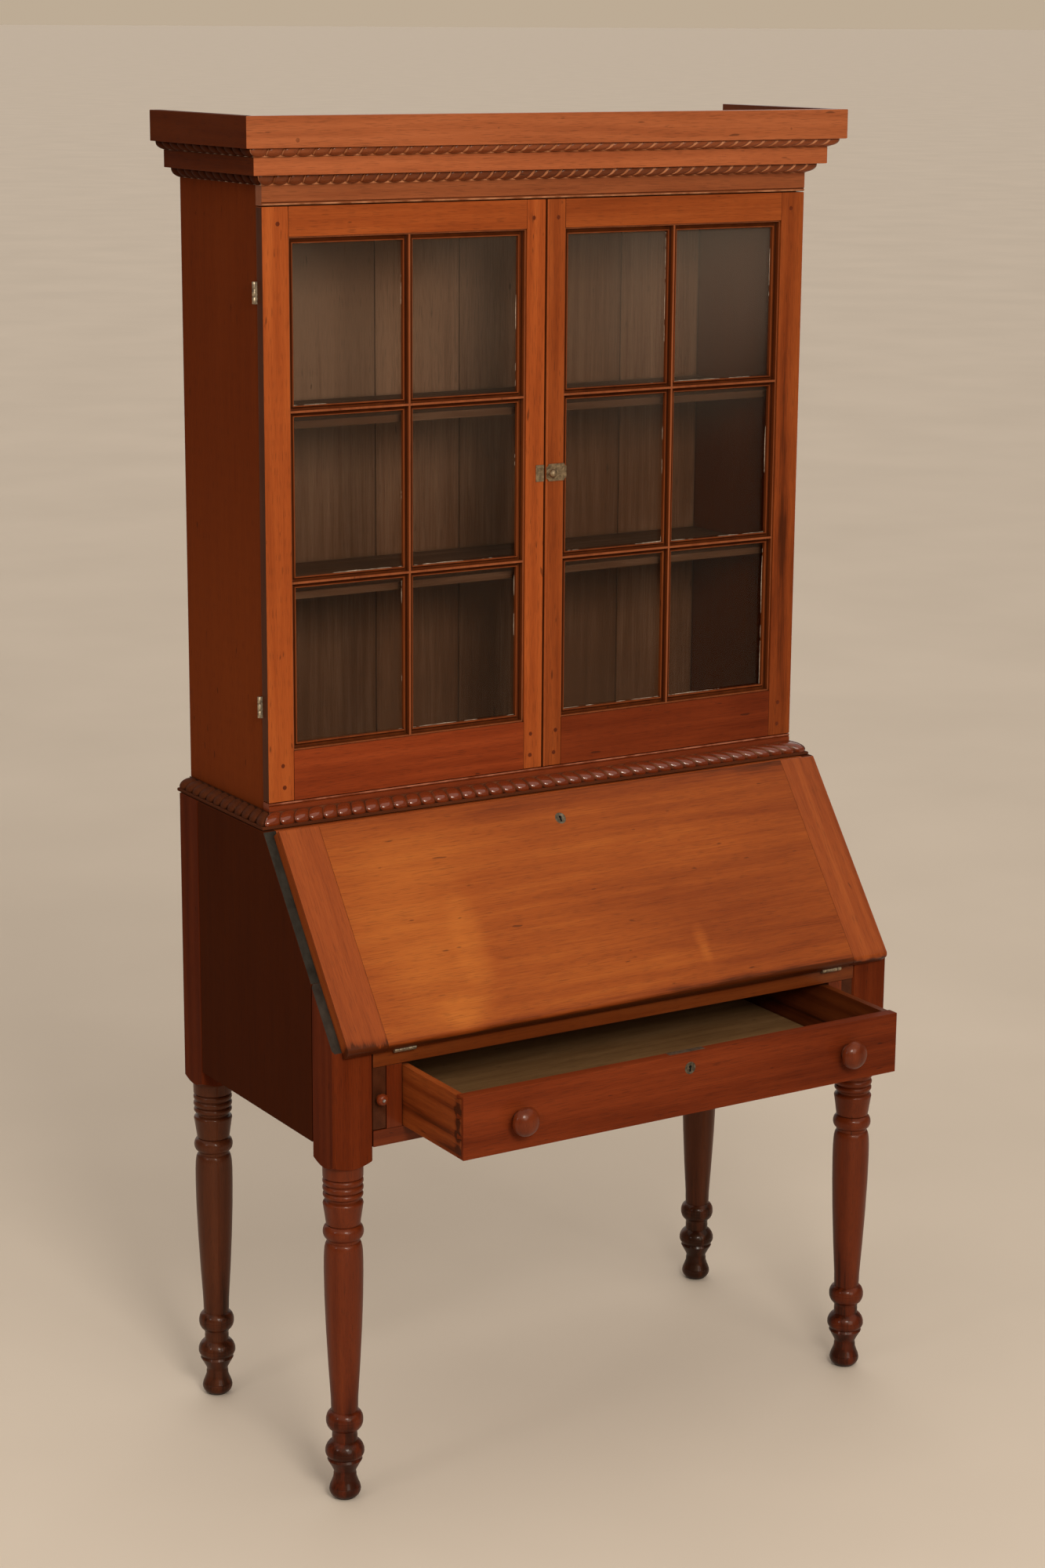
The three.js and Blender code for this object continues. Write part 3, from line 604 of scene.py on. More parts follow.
def rope(name, root_out, root_z, reach, rise, twist, depth, finish):
    """A quarter round carved as a rope. It is widest at root_z and meets the board rise away from it.

    The lobes swell between grooves, and their ends make a scalloped outline on a strip. Grooves and strip
    take the second finish, a painted highlight on the cornice ropes.
    The twist dies away over the last lobe at each end, so that every run ends square on its mitre.
    """
    strip = oblong((root_out - 0.4 * MM, root_out + 0.2 * MM), (root_z + 0.5 * rise, root_z + rise))
    sunk_out = root_out - ROPE_SUNK
    for word, start, end, outward in runs():
        place = mitred(start, end, outward)
        lobes = round((end - start).length / ROPE_PITCH)
        slant = twist if word == "front" else -twist
        rows = []
        for i in range(lobes * LOBE_STEPS + 1):
            t = i / (lobes * LOBE_STEPS)
            shear = slant / lobes * min(1.0, t * lobes, (1 - t) * lobes)
            u = 2 * (i % LOBE_STEPS) / LOBE_STEPS - 1
            swell = math.sqrt(1 - (LOBE_FULLNESS * u) ** 2) ** 0.9
            size = 1 - depth + depth * swell
            row = []
            for j in range(ROPE_STEPS_ROUND + 1):
                angle = math.radians(ROPE_START + ROPE_SWEEP * j / ROPE_STEPS_ROUND)
                out = root_out + reach * math.cos(angle) * size
                z = root_z + rise * math.sin(angle) * size
                row.append(place(out, z, t - shear * (j / ROPE_STEPS_ROUND - 0.5)))
            row.append(place(sunk_out, root_z + rise * 0.98 * size, t))
            row.append(place(sunk_out, root_z - rise * 0.2, t))
            rows.append(row)
        shape = Solid().rows(rows)
        for i in range(0, lobes * LOBE_STEPS, LOBE_STEPS):
            first = i * len(rows[0]) + 1
            shape.finish[first:first + ROPE_STEPS_ROUND - 2] = [1] * (ROPE_STEPS_ROUND - 2)
        shape.prism(strip, place, 0.0, 1.0, finish=1)
        # The second finish, for grooves and strip: a painted highlight on partly worn wood on the cornice
        # ropes, darker worn wood on the waist rope.
        finishes = [finish[word], finish["worn_" + word]]
        piece(f"{name}_{word}", shape, finishes, "case", smooth=50)


def boards(name, section, finish, replaces=(), bevel=0.9 * MM):
    """A plain mitred board on each of the three sides, its section given as (out, z)."""
    for word, start, end, outward in runs():
        shape = Solid().prism(section, mitred(start, end, outward), 0.0, 1.0)
        piece(f"{name}_{word}", shape, finish[word], "case", replaces, bevel=bevel)


def three_finishes(name, tones, tone, side_tones, side_tone, worn=None, **look):
    """Finishes for the three runs of a moulding, with second ones for its grooves if asked: painted
    highlights on partly worn wood for the cornice ropes, darker worn wood for the waist rope.
    """
    dull = {**look, "gloss": 0.4, "coat": 0.02}
    finishes = {
        "left": wood(name + "_left", side_tones, Y_GRAIN, tone=side_tone, **dull),
        "front": wood(name + "_front", tones, X_GRAIN, tone=tone, **look),
        "right": wood(name + "_right", side_tones, Y_GRAIN, tone=side_tone * 1.3, **look),
    }
    if worn is not None:
        front, sides = worn
        finishes["worn_front"] = worn_and_highlit_wood(name + "_worn_front", *front)
        finishes["worn_left"] = finishes["worn_right"] = worn_and_highlit_wood(name + "_worn_and_highlit_sides", *sides)
    return finishes


FASCIA_HEIGHT = 47.5 * MM
LOW_FASCIA_HEIGHT = 27.5 * MM
FASCIA_THICKNESS = 19 * MM
BED_OUT = 12 * MM
CORNICE_ROPE_REACH = 16.5 * MM
CORNICE_ROPE_TWIST = 0.42  # in lobes
CORNICE_ROPE_DEPTH = 0.42  # of its grooves, as a share of its section
FILLET_HEIGHT = 5.2 * MM


def cornice():
    low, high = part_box("cornice_upper")
    low_top = span("cornice_lower", 2)[1]
    upper_out, low_out = high.x - RAIL_HALF, span("cornice_lower", 0)[1] - RAIL_HALF
    upper_foot, low_foot = high.z - FASCIA_HEIGHT, low_top - LOW_FASCIA_HEIGHT
    pale = three_finishes("cornice_fascia", CHERRY_PALE, 0.97, CHERRY_BROWN, 0.58, blotch=0.6)
    pale_low = three_finishes("cornice_lower_fascia", CHERRY_PALE, 1.12, CHERRY_BROWN, 0.62, blotch=0.6)
    dark = three_finishes("cornice_bed", CHERRY, 0.50, CHERRY_BROWN, 0.45)
    # Pale colours of the ropes' grooves and strip, front then sides: painted highlights on partly worn wood.
    worn = (((0.30, 0.090, 0.030), (0.48, 0.19, 0.085)), ((0.10, 0.055, 0.035), (0.42, 0.30, 0.21)))
    upper = three_finishes("cornice_rope_upper", CHERRY_UMBER, 1.45, CHERRY_BROWN, 0.30, worn=worn)
    lower = three_finishes("cornice_rope_lower", CHERRY_UMBER, 1.10, CHERRY_BROWN, 0.30, worn=worn)
    fascia = oblong((upper_out - FASCIA_THICKNESS, upper_out), (upper_foot, high.z))
    bed = oblong((BED_OUT, low_out), (low.z, upper_foot - 0.2 * MM))
    low_fascia = oblong((0.3 * MM, low_out), (low_foot, low_top))
    boards("cornice_fascia", fascia, pale, ["cornice_upper"])
    boards("cornice_bed", bed, dark)
    boards("cornice_low_fascia", low_fascia, pale_low, ["cornice_lower"])
    for name, out, z, rise, finish in (
        ("cornice_rope_upper", low_out + 0.5 * MM, upper_foot - 2 * MM, -11.5 * MM, upper),
        ("cornice_rope_lower", 0.8 * MM, low_foot - 2 * MM, -13.5 * MM, lower),
    ):
        rope(name, out, z, CORNICE_ROPE_REACH, rise, CORNICE_ROPE_TWIST, CORNICE_ROPE_DEPTH, finish)


cornice()


def waist():
    foot = span("waist_rope", 2)[0]
    reach = span("waist_rope", 0)[1] - RAIL_HALF
    worn = (((0.07, 0.018, 0.007), (0.13, 0.036, 0.014)), ((0.02, 0.007, 0.004), (0.04, 0.014, 0.007)))
    finish = three_finishes(
        "waist_rope", CHERRY_RED, 1.20, CHERRY_UMBER, 0.5, worn=worn, gloss=1.8, coat=1.0, figure=0.6)
    plain = three_finishes("waist_fillet", CHERRY_UMBER, 0.62, CHERRY_UMBER, 0.5, gloss=0.6)
    top = foot + FILLET_HEIGHT
    rounded = [(0.3 * MM, foot), (reach - 1.2 * MM, foot), (reach, foot + 1.2 * MM)]
    rounded += [(reach - 0.4 * MM, top - 0.6 * MM), (reach - 1.4 * MM, top), (0.3 * MM, top)]
    boards("waist_fillet", rounded, plain, ["waist_rope"], bevel=0)
    rope("waist_rope_carved", 1.0 * MM, top + 3.2 * MM, reach - 1.8 * MM, 13.5 * MM, 0.28, 0.34, finish)


waist()

RAIL_BEAD = 2.1 * MM
QUIRK = 1.1 * MM
BEAD_STEPS = 8


def beaded_rail(name, bead_at_top, tones, tone, worn):
    """A rail across the front with a small bead worked on the edge that meets the doors."""
    low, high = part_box(name)
    edge, far_edge = (high.z, low.z) if bead_at_top else (low.z, high.z)
    inward = -1 if bead_at_top else 1
    bead_y, bead_z = low.y + RAIL_BEAD, edge + inward * RAIL_BEAD
    quirk = edge + inward * (2 * RAIL_BEAD + QUIRK)
    outline = [(high.y, far_edge), (low.y, far_edge)]
    outline += [(low.y, quirk + inward * QUIRK * 0.4), (low.y + QUIRK, quirk)]
    for step in range(BEAD_STEPS + 1):
        a = math.pi * step / BEAD_STEPS
        outline.append((bead_y - RAIL_BEAD * math.sin(a), bead_z + inward * RAIL_BEAD * math.cos(a)))
    outline.append((high.y, edge))
    shape = Solid().prism(outline, side_on, low.x, high.x)
    # The front of the bead takes the second finish, a painted highlight.
    shape.finish[len(outline) - 7:len(outline) - 4] = [1] * 3  # the front of the bead
    finishes = [wood(name, tones, X_GRAIN, tone=tone), worn_and_highlit_wood(name + "_painted_bead_highlight", *worn)]
    piece(name + "_beaded", shape, finishes, "case", [name], smooth=35)


# The last colours paint a highlight along each rail's bead.
beaded_rail("frieze_rail", False, CHERRY_PALE, 0.76, ((0.16, 0.045, 0.015), (0.40, 0.17, 0.08)))
beaded_rail("waist_rail", True, CHERRY_RED, 1.35, ((0.14, 0.030, 0.011), (0.32, 0.11, 0.06)))


# ---- lid -----------------------------------------------------------------------------------
LID_THICKNESS = 22 * MM
LID_LENGTH = 377 * MM
HINGE_LEAF = 24 * MM
HINGE_RADIUS = 3.8 * MM
KNUCKLE_GAP = 0.15 * MM


def lid_section():
    """(up, out) round a board of the lid: a soft nose at the foot and small rounds elsewhere."""
    nose, small = 8 * MM, 2.2 * MM
    outline = [(0, 0.6 * MM), (0.6 * MM, 0), (LID_LENGTH - 1 * MM, 0), (LID_LENGTH, 1 * MM)]
    outline += arc((LID_LENGTH - small, LID_THICKNESS - small), (small, small), 0, 90, 4)
    outline += arc((nose, LID_THICKNESS - nose), (nose, nose), 90, 180, 7)
    return outline


def lid_place(up, out, x):
    return on_lid(x, up, out)


def lid_board(node, finish):
    shape = Solid().prism(lid_section(), lid_place, *span(node, 0))
    piece(node + "_board", shape, finish, "lid", [node], bevel=0.6 * MM, smooth=30)


def on_face(centre, face):
    """Places a small fitting on a face, which is given by where its right, up and out point."""
    right, up, out = face
    return lambda u, v, w: centre + right * u + up * v + out * w


def keyhole(name, centre, face, radius, body, seat):
    """A round brass insert with a keyhole, let into a face. seat is how far it stands proud."""
    place = on_face(centre, face)
    profile = [(-2 * MM, radius), (seat * 0.6, radius), (seat, radius - 0.7 * MM), (seat, radius - 1.7 * MM)]
    profile += [(0.12 * MM, radius - 2.2 * MM)]
    ring = Solid().turning(profile, place, 40)
    piece(name + "_insert", ring, LOCK_METAL, body, smooth=30)
    # The keyhole is a dark metal plug in place of an open hole: painted shade.
    bow, bow_up, slot_half, drop = 2.5 * MM, 2.0 * MM, 1.4 * MM, 8.2 * MM
    outline = arc((0, bow_up), (bow, bow), -55, 235, 14)
    outline += [(-slot_half * 1.3, bow_up - drop), (slot_half * 1.3, bow_up - drop)]
    hole = Solid().prism(outline, place, -1.2 * MM, 0.17 * MM)
    piece(name + "_hole", hole, HOLE, body, smooth=30)


def screw(shape, centre, face, radius, turned):
    """A slotted countersunk screw head, made as two half discs and the floor of its slot."""
    half_slot = radius * 0.16
    right, up, out = face
    c, s = math.cos(turned), math.sin(turned)
    place = on_face(centre, (right * c + up * s, up * c - right * s, out))
    start = math.degrees(math.asin(half_slot / radius))
    half_disc = arc((0, 0), (radius, radius), start, 180 - start, 10)
    for sign in (-1, 1):
        shape.prism([(u, sign * v) for u, v in half_disc], place, -0.3 * MM, 0.12 * MM)
    reach = radius * 0.98
    shape.prism(oblong((-reach, reach), (-half_slot, half_slot)), place, -0.3 * MM, -0.15 * MM)


def barrel(shape, place, low, high, radius, knuckles, wanted):
    """The wanted ones of a hinge barrel's knuckles, each with its ends eased."""
    length = (high - low) / knuckles
    rim = radius * 0.9
    for k in wanted:
        a, b = low + k * length + KNUCKLE_GAP, low + (k + 1) * length - KNUCKLE_GAP
        shape.turning([(a, rim), (a + 0.4 * MM, radius), (b - 0.4 * MM, radius), (b, rim)], place, 20)


def lid_boards():
    # Painted shade: the lid's foot is darkened along the rail it meets, on the panel and on the cleats.
    foot = (on_lid(0.0, -0.002, 0.008), (2.0, 0.013, 0.017), -0.75)
    # (across, up, size, strength) of the lid's rubbed places, of a darker band along its top edge, and of
    # painted shade over its right part.
    patches = (
        (-0.330, 0.070, (0.075, 0.065, 0.09), 0.17), (-0.305, 0.030, (0.035, 0.024, 0.04), 0.22),
        (-0.345, 0.190, (0.110, 0.075, 0.09), 0.20), (-0.300, 0.300, (0.150, 0.035, 0.05), 0.18),
        (-0.255, 0.150, (0.028, 0.090, 0.09), 0.18), (0.168, 0.075, (0.012, 0.026, 0.04), 0.25),
        (0.05, 0.375, (0.60, 0.026, 0.026), -0.30), (0.36, 0.15, (0.30, 0.24, 0.20), -0.22),
    )
    spots = [(on_lid(x, up, LID_THICKNESS), size, strength) for x, up, size, strength in patches]
    panel_wood = wood(
        "lid_panel_cherry", LID_CHERRY, X_GRAIN, tone=0.97, blotch=0.5, figure=0.45, gloss=0.8,
        spots=spots + [foot])
    lid_board("lid_panel", panel_wood)
    for word, tone in (("left", 0.88), ("right", 0.85)):
        node = f"lid_cleat_{word}"
        look = {"tone": tone, "blotch": 0.7, "gloss": 0.8, "spots": [foot]}
        lid_board(node, wood(node + "_cherry", CHERRY, LID_UP, **look))


def lid_lock():
    keyhole("lid_lock", on_lid(-0.0156, 0.330, LID_THICKNESS), LID_FACE, 9.8 * MM, "lid", 0.35 * MM)
    plate_left, plate_right, plate_height, inset = -45 * MM, 15 * MM, 34 * MM, 5 * MM
    foot = LID_LENGTH - 36 * MM
    section = oblong((foot, foot + plate_height), (-0.8 * MM, 0.4 * MM))
    plate = Solid().prism(section, lid_place, plate_left, plate_right)
    for x in (plate_left + inset, plate_right - inset):
        for up in (inset, plate_height - inset):
            centre = on_lid(x, foot + up, -0.8 * MM)
            screw(plate, centre, LID_INSIDE, 2.2 * MM, x * 90 + up * 200)
    piece("lid_lock_plate", plate, BRASS, "lid", bevel=0.2 * MM)


def lid_hinges():
    deck_z = span("lid_rail", 2)[1]
    leaf_z = deck_z + 0.35 * MM
    for word in SIDES:
        node = f"lid_hinge_{word}"
        low, high = span(node, 0)
        moving, fixed = Solid(), Solid()
        barrel(moving, lid_place, low, high, HINGE_RADIUS, 5, (0, 2, 4))
        barrel(fixed, lid_place, low, high, HINGE_RADIUS, 5, (1, 3))
        moving.prism(oblong((0, HINGE_LEAF), (0.2 * MM, 1.7 * MM)), lid_place, low, high)
        fixed.box((low, LID_PIVOT.y + 3.5 * MM, deck_z - 0.4 * MM), (high, LID_PIVOT.y + 26 * MM, leaf_z))
        for x in (low + 8 * MM, high - 8 * MM):
            screw(moving, on_lid(x, 15 * MM, 0.15 * MM), LID_INSIDE, 2.6 * MM, x * 77)
            centre = Vector((x, LID_PIVOT.y + 17 * MM, leaf_z))
            screw(fixed, centre, TOP_FACE, 2.6 * MM, x * 55)
        piece(node + "_leaf", moving, IRON, "lid", [node])
        piece(f"deck_hinge_{word}_leaf", fixed, IRON, "case")


lid_boards()
lid_lock()
lid_hinges()


# ---- desk boards ---------------------------------------------------------------------------
def desk():
    for word, tone in (("left", 0.3534), ("right", 0.5115)):
        look = {"end_face": LID_OUT, "blotch": 0.6, "figure": 0.25, "gloss": 0.25, "coat": 0.02}
        keep(f"desk_side_{word}", CHERRY_BROWN, Z_GRAIN, tone=tone, **look)
    keep("desk_back", POPLAR, X_GRAIN, tone=0.8, gloss=0.5)
    keep("desk_top", CHERRY, X_GRAIN, tone=0.85)
    keep("writing_deck", CHERRY, X_GRAIN, tone=0.8)
    keep("lid_rail", CHERRY, X_GRAIN, tone=0.45, blotch=0.8)
    keep("apron_rail", CHERRY_RED, X_GRAIN, tone=0.85)
    for word in SIDES:
        keep(f"loper_guide_{word}", CHERRY_RED, Z_GRAIN, tone=0.95)
        # The lopers are toned dark as painted shade of the recessed slots they sit in.
        keep(f"loper_{word}", CHERRY_UMBER, Y_GRAIN, tone=0.42, gloss=0.6)
    keep("letter_gallery", CHERRY, X_GRAIN, tone=0.6, gloss=0.7)


desk()


# ---- knobs ---------------------------------------------------------------------------------
def wooden_knob(name, profile, body, grain, segments, **look):
    """Turns a knob from a profile in shares of its CAD node's length and radius."""
    low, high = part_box(name)
    x, _, z = middle(name)
    radius, length = (high.x - low.x) / 2, high.y - low.y
    points = [(u * length, v * radius) for u, v in profile]
    shape = Solid().turning(points, forward(x, high.y, z), segments)
    finish = wood(name + "_cherry", CHERRY_RED, grain, gloss=0.9, **look)
    piece(name + "_turned", shape, finish, body, [name])
    return x, low.y, z


def mushroom():
    """Flared foot, waist, and an undercut head with a crisp rim and a low dome."""
    profile = [(0, 0.54), (0.05, 0.56), (0.09, 0.52), (0.16, 0.43), (0.27, 0.42), (0.36, 0.52), (0.42, 0.72)]
    profile += [(0.45, 0.90)] + arc((0.53, 0.90), (0.09, 0.10), 180, 100, 4)[1:]
    profile += [(0.56, 0.985), (0.575, 0.975), (0.59, 0.982)]
    return profile + arc((0.55, 0.0), (0.45, 0.985), 84, 12, 12) + [(1.0, 0.06)]


def button():
    """A short stem and a round head, dished for its screw."""
    profile = [(0, 0.62), (0.10, 0.60), (0.26, 0.47), (0.42, 0.72)]
    profile += [(0.55 + u, v) for u, v in arc((0, 0.78), (0.16, 0.22), 170, 60, 6)]
    return profile + [(0.86, 0.86), (0.98, 0.66), (1.0, 0.40), (0.95, 0.34)]


def knobs():
    for word in SIDES:
        look = {"tone": 0.92, "coat": 0.22, "blotch": 0.6}
        wooden_knob(f"drawer_knob_{word}", mushroom(), "drawer", Z_GRAIN, 48, **look)
        node, body = f"loper_knob_{word}", f"loper_{word}"
        x, y, z = wooden_knob(node, button(), body, Y_GRAIN, 36, tone=1.1, coat=0.25)
        head = Solid()
        turned = 0.6 if word == "left" else 1.3
        screw(head, Vector((x, y + 0.5 * MM, z)), FRONT_FACE, 2.7 * MM, turned)
        piece(node + "_screw", head, STEEL, body)


knobs()


# ---- drawer --------------------------------------------------------------------------------
TAIL_COUNT = 3
TAIL_REACH = 14 * MM
TAIL_CLEARANCE = 0.25 * MM
LOCK_SPAN = (-32 * MM, 36 * MM)


def tail_outlines(low_z, high_z, front_y, spread=0.0):
    """Dovetails that reach forward from a drawer side, widest at their front ends."""
    pitch = (high_z - low_z) / TAIL_COUNT
    root, tip = pitch * 0.34 + spread, pitch * 0.43 + spread
    y_root, y_tip = front_y + 0.5 * MM, front_y - TAIL_REACH - spread
    outlines = []
    for i in range(TAIL_COUNT):
        z = low_z + (i + 0.5) * pitch
        outlines.append([(y_root, z - root), (y_tip, z - tip), (y_tip, z + tip), (y_root, z + root)])
    return outlines


def drawer_side(word, side, tone):
    """One side with its dovetails. Returns the sockets that it needs in the drawer front."""
    node = f"drawer_side_{word}"
    low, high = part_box(node)
    outer = side * (abs(high.x if side > 0 else low.x) + 0.4 * MM)
    inner = low.x if side > 0 else high.x
    foot, mid_z = low.z + 2 * MM, (low.z + high.z) / 2
    board = Solid().box(low, high)
    for outline in tail_outlines(foot, high.z, low.y):
        board.prism(outline, side_on, *sorted((outer, inner)))
    # (back from the front end, height, size, strength) of its dark streaks.
    streaks = (
        (0.10, mid_z - 0.014, (0.05, 0.24, 0.010), -0.38),
        (0.06, mid_z + 0.024, (0.05, 0.30, 0.005), -0.18),
        (-0.004, mid_z + 0.004, (0.05, 0.010, 0.042), -0.60),
        (0.02, low.z + 0.006, (0.05, 0.10, 0.010), -0.45),
    )
    spots = [(Vector((outer, low.y + back, z)), size, strength) for back, z, size, strength in streaks]
    finish = wood(node + "_cherry", CHERRY, Y_GRAIN, tone=tone, figure=1.3, gloss=0.6, spots=spots)
    piece(node + "_board", board, finish, "drawer", [node], bevel=0.5 * MM)
    reach = sorted((inner - side * 0.3 * MM, outer + side * 3 * MM))
    return [solid_object("cutter", Solid().prism(outline, side_on, *reach))
            for outline in tail_outlines(foot, high.z, low.y, TAIL_CLEARANCE)]


def drawer_lock():
    low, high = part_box("drawer_front")
    seat = Vector((0.002, low.y, 0.698))
    keyhole("drawer_lock", seat, FRONT_FACE, 10 * MM, "drawer", 0.3 * MM)
    left, right = LOCK_SPAN
    face_y, foot = high.y + 0.25 * MM, 668 * MM
    lock = Solid()
    lock.box((left, high.y - 1.4 * MM, foot), (right, face_y, high.z - 0.3 * MM))
    lock.box((left, high.y - 12 * MM, high.z - 1.2 * MM), (right, face_y, high.z + 0.1 * MM))
    for x in (left + 6 * MM, right - 6 * MM):
        for z in (foot + 6 * MM, high.z - 8 * MM):
            screw(lock, Vector((x, face_y, z)), BACK_FACE, 2.2 * MM, x * 70 + z * 30)
    piece("drawer_lock_plate", lock, LOCK_METAL, "drawer", bevel=0.2 * MM)


def drawer():
    sockets = drawer_side("left", LEFT, 0.78) + drawer_side("right", RIGHT, 0.36)
    low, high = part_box("drawer_front")
    # Painted shade over the right part of the drawer front.
    painted_shade = [(Vector((0.40, low.y, 0.70)), (0.30, 0.10, 0.20), -0.18)]
    finish = wood(
        "drawer_front_cherry", CHERRY_RED, X_GRAIN, tone=1.15, blotch=0.7, gloss=0.45, coat=0.05,
        spots=painted_shade)
    front = piece("drawer_front_board", Solid().box(low, high), finish, "drawer", ["drawer_front"])
    carve(front, sockets)
    round_edges(front, 0.8 * MM)
    drawer_lock()
    keep("drawer_back", POPLAR, X_GRAIN, tone=0.85, gloss=0.5)
    pale_front = [(Vector((0.10, low.y + 0.06, 0.636)), (0.45, 0.05, 0.03), 0.35)]
    keep("drawer_bottom", POPLAR, X_GRAIN, tone=1.2, gloss=0.5, figure=0.7, spots=pale_front)


drawer()


# ---- bookcase ------------------------------------------------------------------------------
BACK_BOARDS = 6
BACK_LAP = 8 * MM
BACK_GAP = 0.6 * MM
BACK_EASED = 1.2 * MM
BACK_PLAY = 0.1 * MM


def back_boards():
    """Half-lapped upright boards with eased edges, so that each joint shows as a dark line."""
    low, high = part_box("bookcase_back")
    width = (high.x - low.x) / BACK_BOARDS
    half = (low.y + high.y) / 2
    eased_y = low.y + BACK_EASED
    # Painted light: the top left of the back is paler, where light comes in through the glass.
    paler = [(Vector((-0.45, low.y, 1.98)), (0.85, 0.012, 0.50), 0.46)]
    for i in range(BACK_BOARDS):
        first, last = i == 0, i == BACK_BOARDS - 1
        left, right = low.x + i * width, low.x + (i + 1) * width
        front = (left + (0 if first else BACK_GAP), right - (0 if last else BACK_GAP))
        back = (left + (0 if first else BACK_LAP + BACK_GAP), right + (0 if last else BACK_LAP - BACK_GAP))
        outline = [(front[0], eased_y), (front[0] + BACK_EASED, low.y)]
        outline += [(front[1] - BACK_EASED, low.y), (front[1], eased_y)]
        outline += [] if last else [(front[1], half + BACK_PLAY), (back[1], half + BACK_PLAY)]
        outline += [(back[1], high.y), (back[0], high.y)]
        outline += [] if first else [(back[0], half - BACK_PLAY), (front[0], half - BACK_PLAY)]
        board = Solid().prism(outline, from_above, low.z, high.z)
        look = {"tone": SEEDS.uniform(0.9, 1.15), "gloss": 0.45, "figure": 0.4, "blotch": 0.6, "spots": paler}
        finish = wood(f"back_board_{i + 1}_stained", STAINED, Z_GRAIN, **look)
        name = f"bookcase_back_board_{i + 1}"
        piece(name, board, finish, "case", ["bookcase_back"], smooth=20)


def bookcase():
    paler = [(Vector((-CASE_HALF, 0.15, 1.22)), (0.05, 0.40, 0.34), 0.26)]
    for word, tone in (("left", 0.96), ("right", 0.62)):
        look = {"blotch": 0.6, "figure": 0.25, "gloss": 0.3, "coat": 0.02, "spots": paler}
        keep(f"bookcase_side_{word}", CHERRY_BROWN, Z_GRAIN, tone=tone, **look)
    shades = {"bookcase_top": 0.9, "bookcase_bottom": 0.8, "shelf_upper": 0.75, "shelf_lower": 0.75}
    for node, tone in shades.items():
        keep(node, STAINED, X_GRAIN, tone=tone, gloss=0.5)
    back_boards()


bookcase()


# ---- doors ---------------------------------------------------------------------------------
BEAD = 10.5 * MM
BAR_HALF = 8.5 * MM
RIDGE_HALF = 1.7 * MM
PANE_LAP = 3.5 * MM
PANE_COLUMNS, PANE_ROWS = 8, 12
PEG_RADIUS = 3.6 * MM
DOOR_HINGE_RADIUS = 3.2 * MM


def pane_openings(word):
    """The six sight openings of a door as (low x, high x, low z, high z)."""
    low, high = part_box(f"door_{word}_muntins")
    mid_x = middle(f"door_{word}_muntins")[0]
    height = high.z - low.z
    levels = [low.z + BEAD - BAR_HALF, low.z + height / 3, low.z + 2 * height / 3, high.z - BEAD + BAR_HALF]
    columns = [(low.x + BEAD, mid_x - BAR_HALF), (mid_x + BAR_HALF, high.x - BEAD)]
    return [(*column, levels[row] + BAR_HALF, levels[row + 1] - BAR_HALF)
            for row in range(3) for column in columns]


def moulding_section(width, depth):
    """(distance in from the outer edge, depth back) across the moulded edge of a pane."""
    section = [(0, depth), (0, 0.0), (RIDGE_HALF, 0.0), (RIDGE_HALF, 0.9 * MM)]
    section += arc((RIDGE_HALF, 6.2 * MM), (width - RIDGE_HALF - 2.2 * MM, 5.3 * MM), 90, 14, 6)
    return section + [(width - 1.4 * MM, 5.4 * MM), (width, 5.6 * MM), (width, depth)]


def sash(word, tone):
    """The moulded bars: a mitred ring of moulding round each pane, meeting on narrow ridges."""
    low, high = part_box(f"door_{word}_muntins")
    shape = Solid()

    def outer(sight, step, rim):
        """The ring's outer edge: the rim of the sash, or the middle of a bar."""
        on_rim = abs(sight + step * BEAD - rim) < 0.1 * MM
        return sight + step * (BEAD if on_rim else BAR_HALF)

    for x0, x1, z0, z1 in pane_openings(word):
        left, right = outer(x0, -1, low.x), outer(x1, 1, high.x)
        foot, head = outer(z0, -1, low.z), outer(z1, 1, high.z)
        rows = []
        for inset, back in moulding_section(BAR_HALF, high.y - low.y):
            share = inset / BAR_HALF
            xa, xb = left + share * (x0 - left), right - share * (right - x1)
            za, zb = foot + share * (z0 - foot), head - share * (head - z1)
            rows.append([(x, low.y + back, z) for x, z in oblong((xa, xb), (za, zb))])
        rows.append(rows[0])
        first_of_ridge = len(shape.faces) + 4
        shape.rows(rows, caps=False)
        shape.finish[first_of_ridge:first_of_ridge + 4] = [1] * 4
    bars = wood(f"door_{word}_sash_cherry", CHERRY, Z_GRAIN, tone=tone, coat=0.15, blotch=0.7)
    ridge = wood(f"door_{word}_sash_worn_ridge", CHERRY_PALE, Z_GRAIN, tone=tone * 1.25, blotch=1.4)
    door = f"door_{word}"
    piece(door + "_sash", shape, [bars, ridge], door, [door + "_muntins"], smooth=28)


def wavy_sheet(x0, x1, z0, z1, y):
    """Rows of points of one face of an old pane, slightly bowed and rippled."""
    bow = [SEEDS.uniform(-0.35, 0.35) * MM for _ in range(4)]
    grid = []
    for r in range(PANE_ROWS + 1):
        v = r / PANE_ROWS
        row = []
        for c in range(PANE_COLUMNS + 1):
            u = c / PANE_COLUMNS
            wave = bow[0] * math.sin(3 * u + 2 * v) + bow[1] * math.sin(5 * v + bow[2] * 4000)
            wave *= math.sin(math.pi * u) * math.sin(math.pi * v) * 0.6
            row.append((x0 + u * (x1 - x0), y + wave, z0 + v * (z1 - z0)))
        grid.append(row)
    return grid


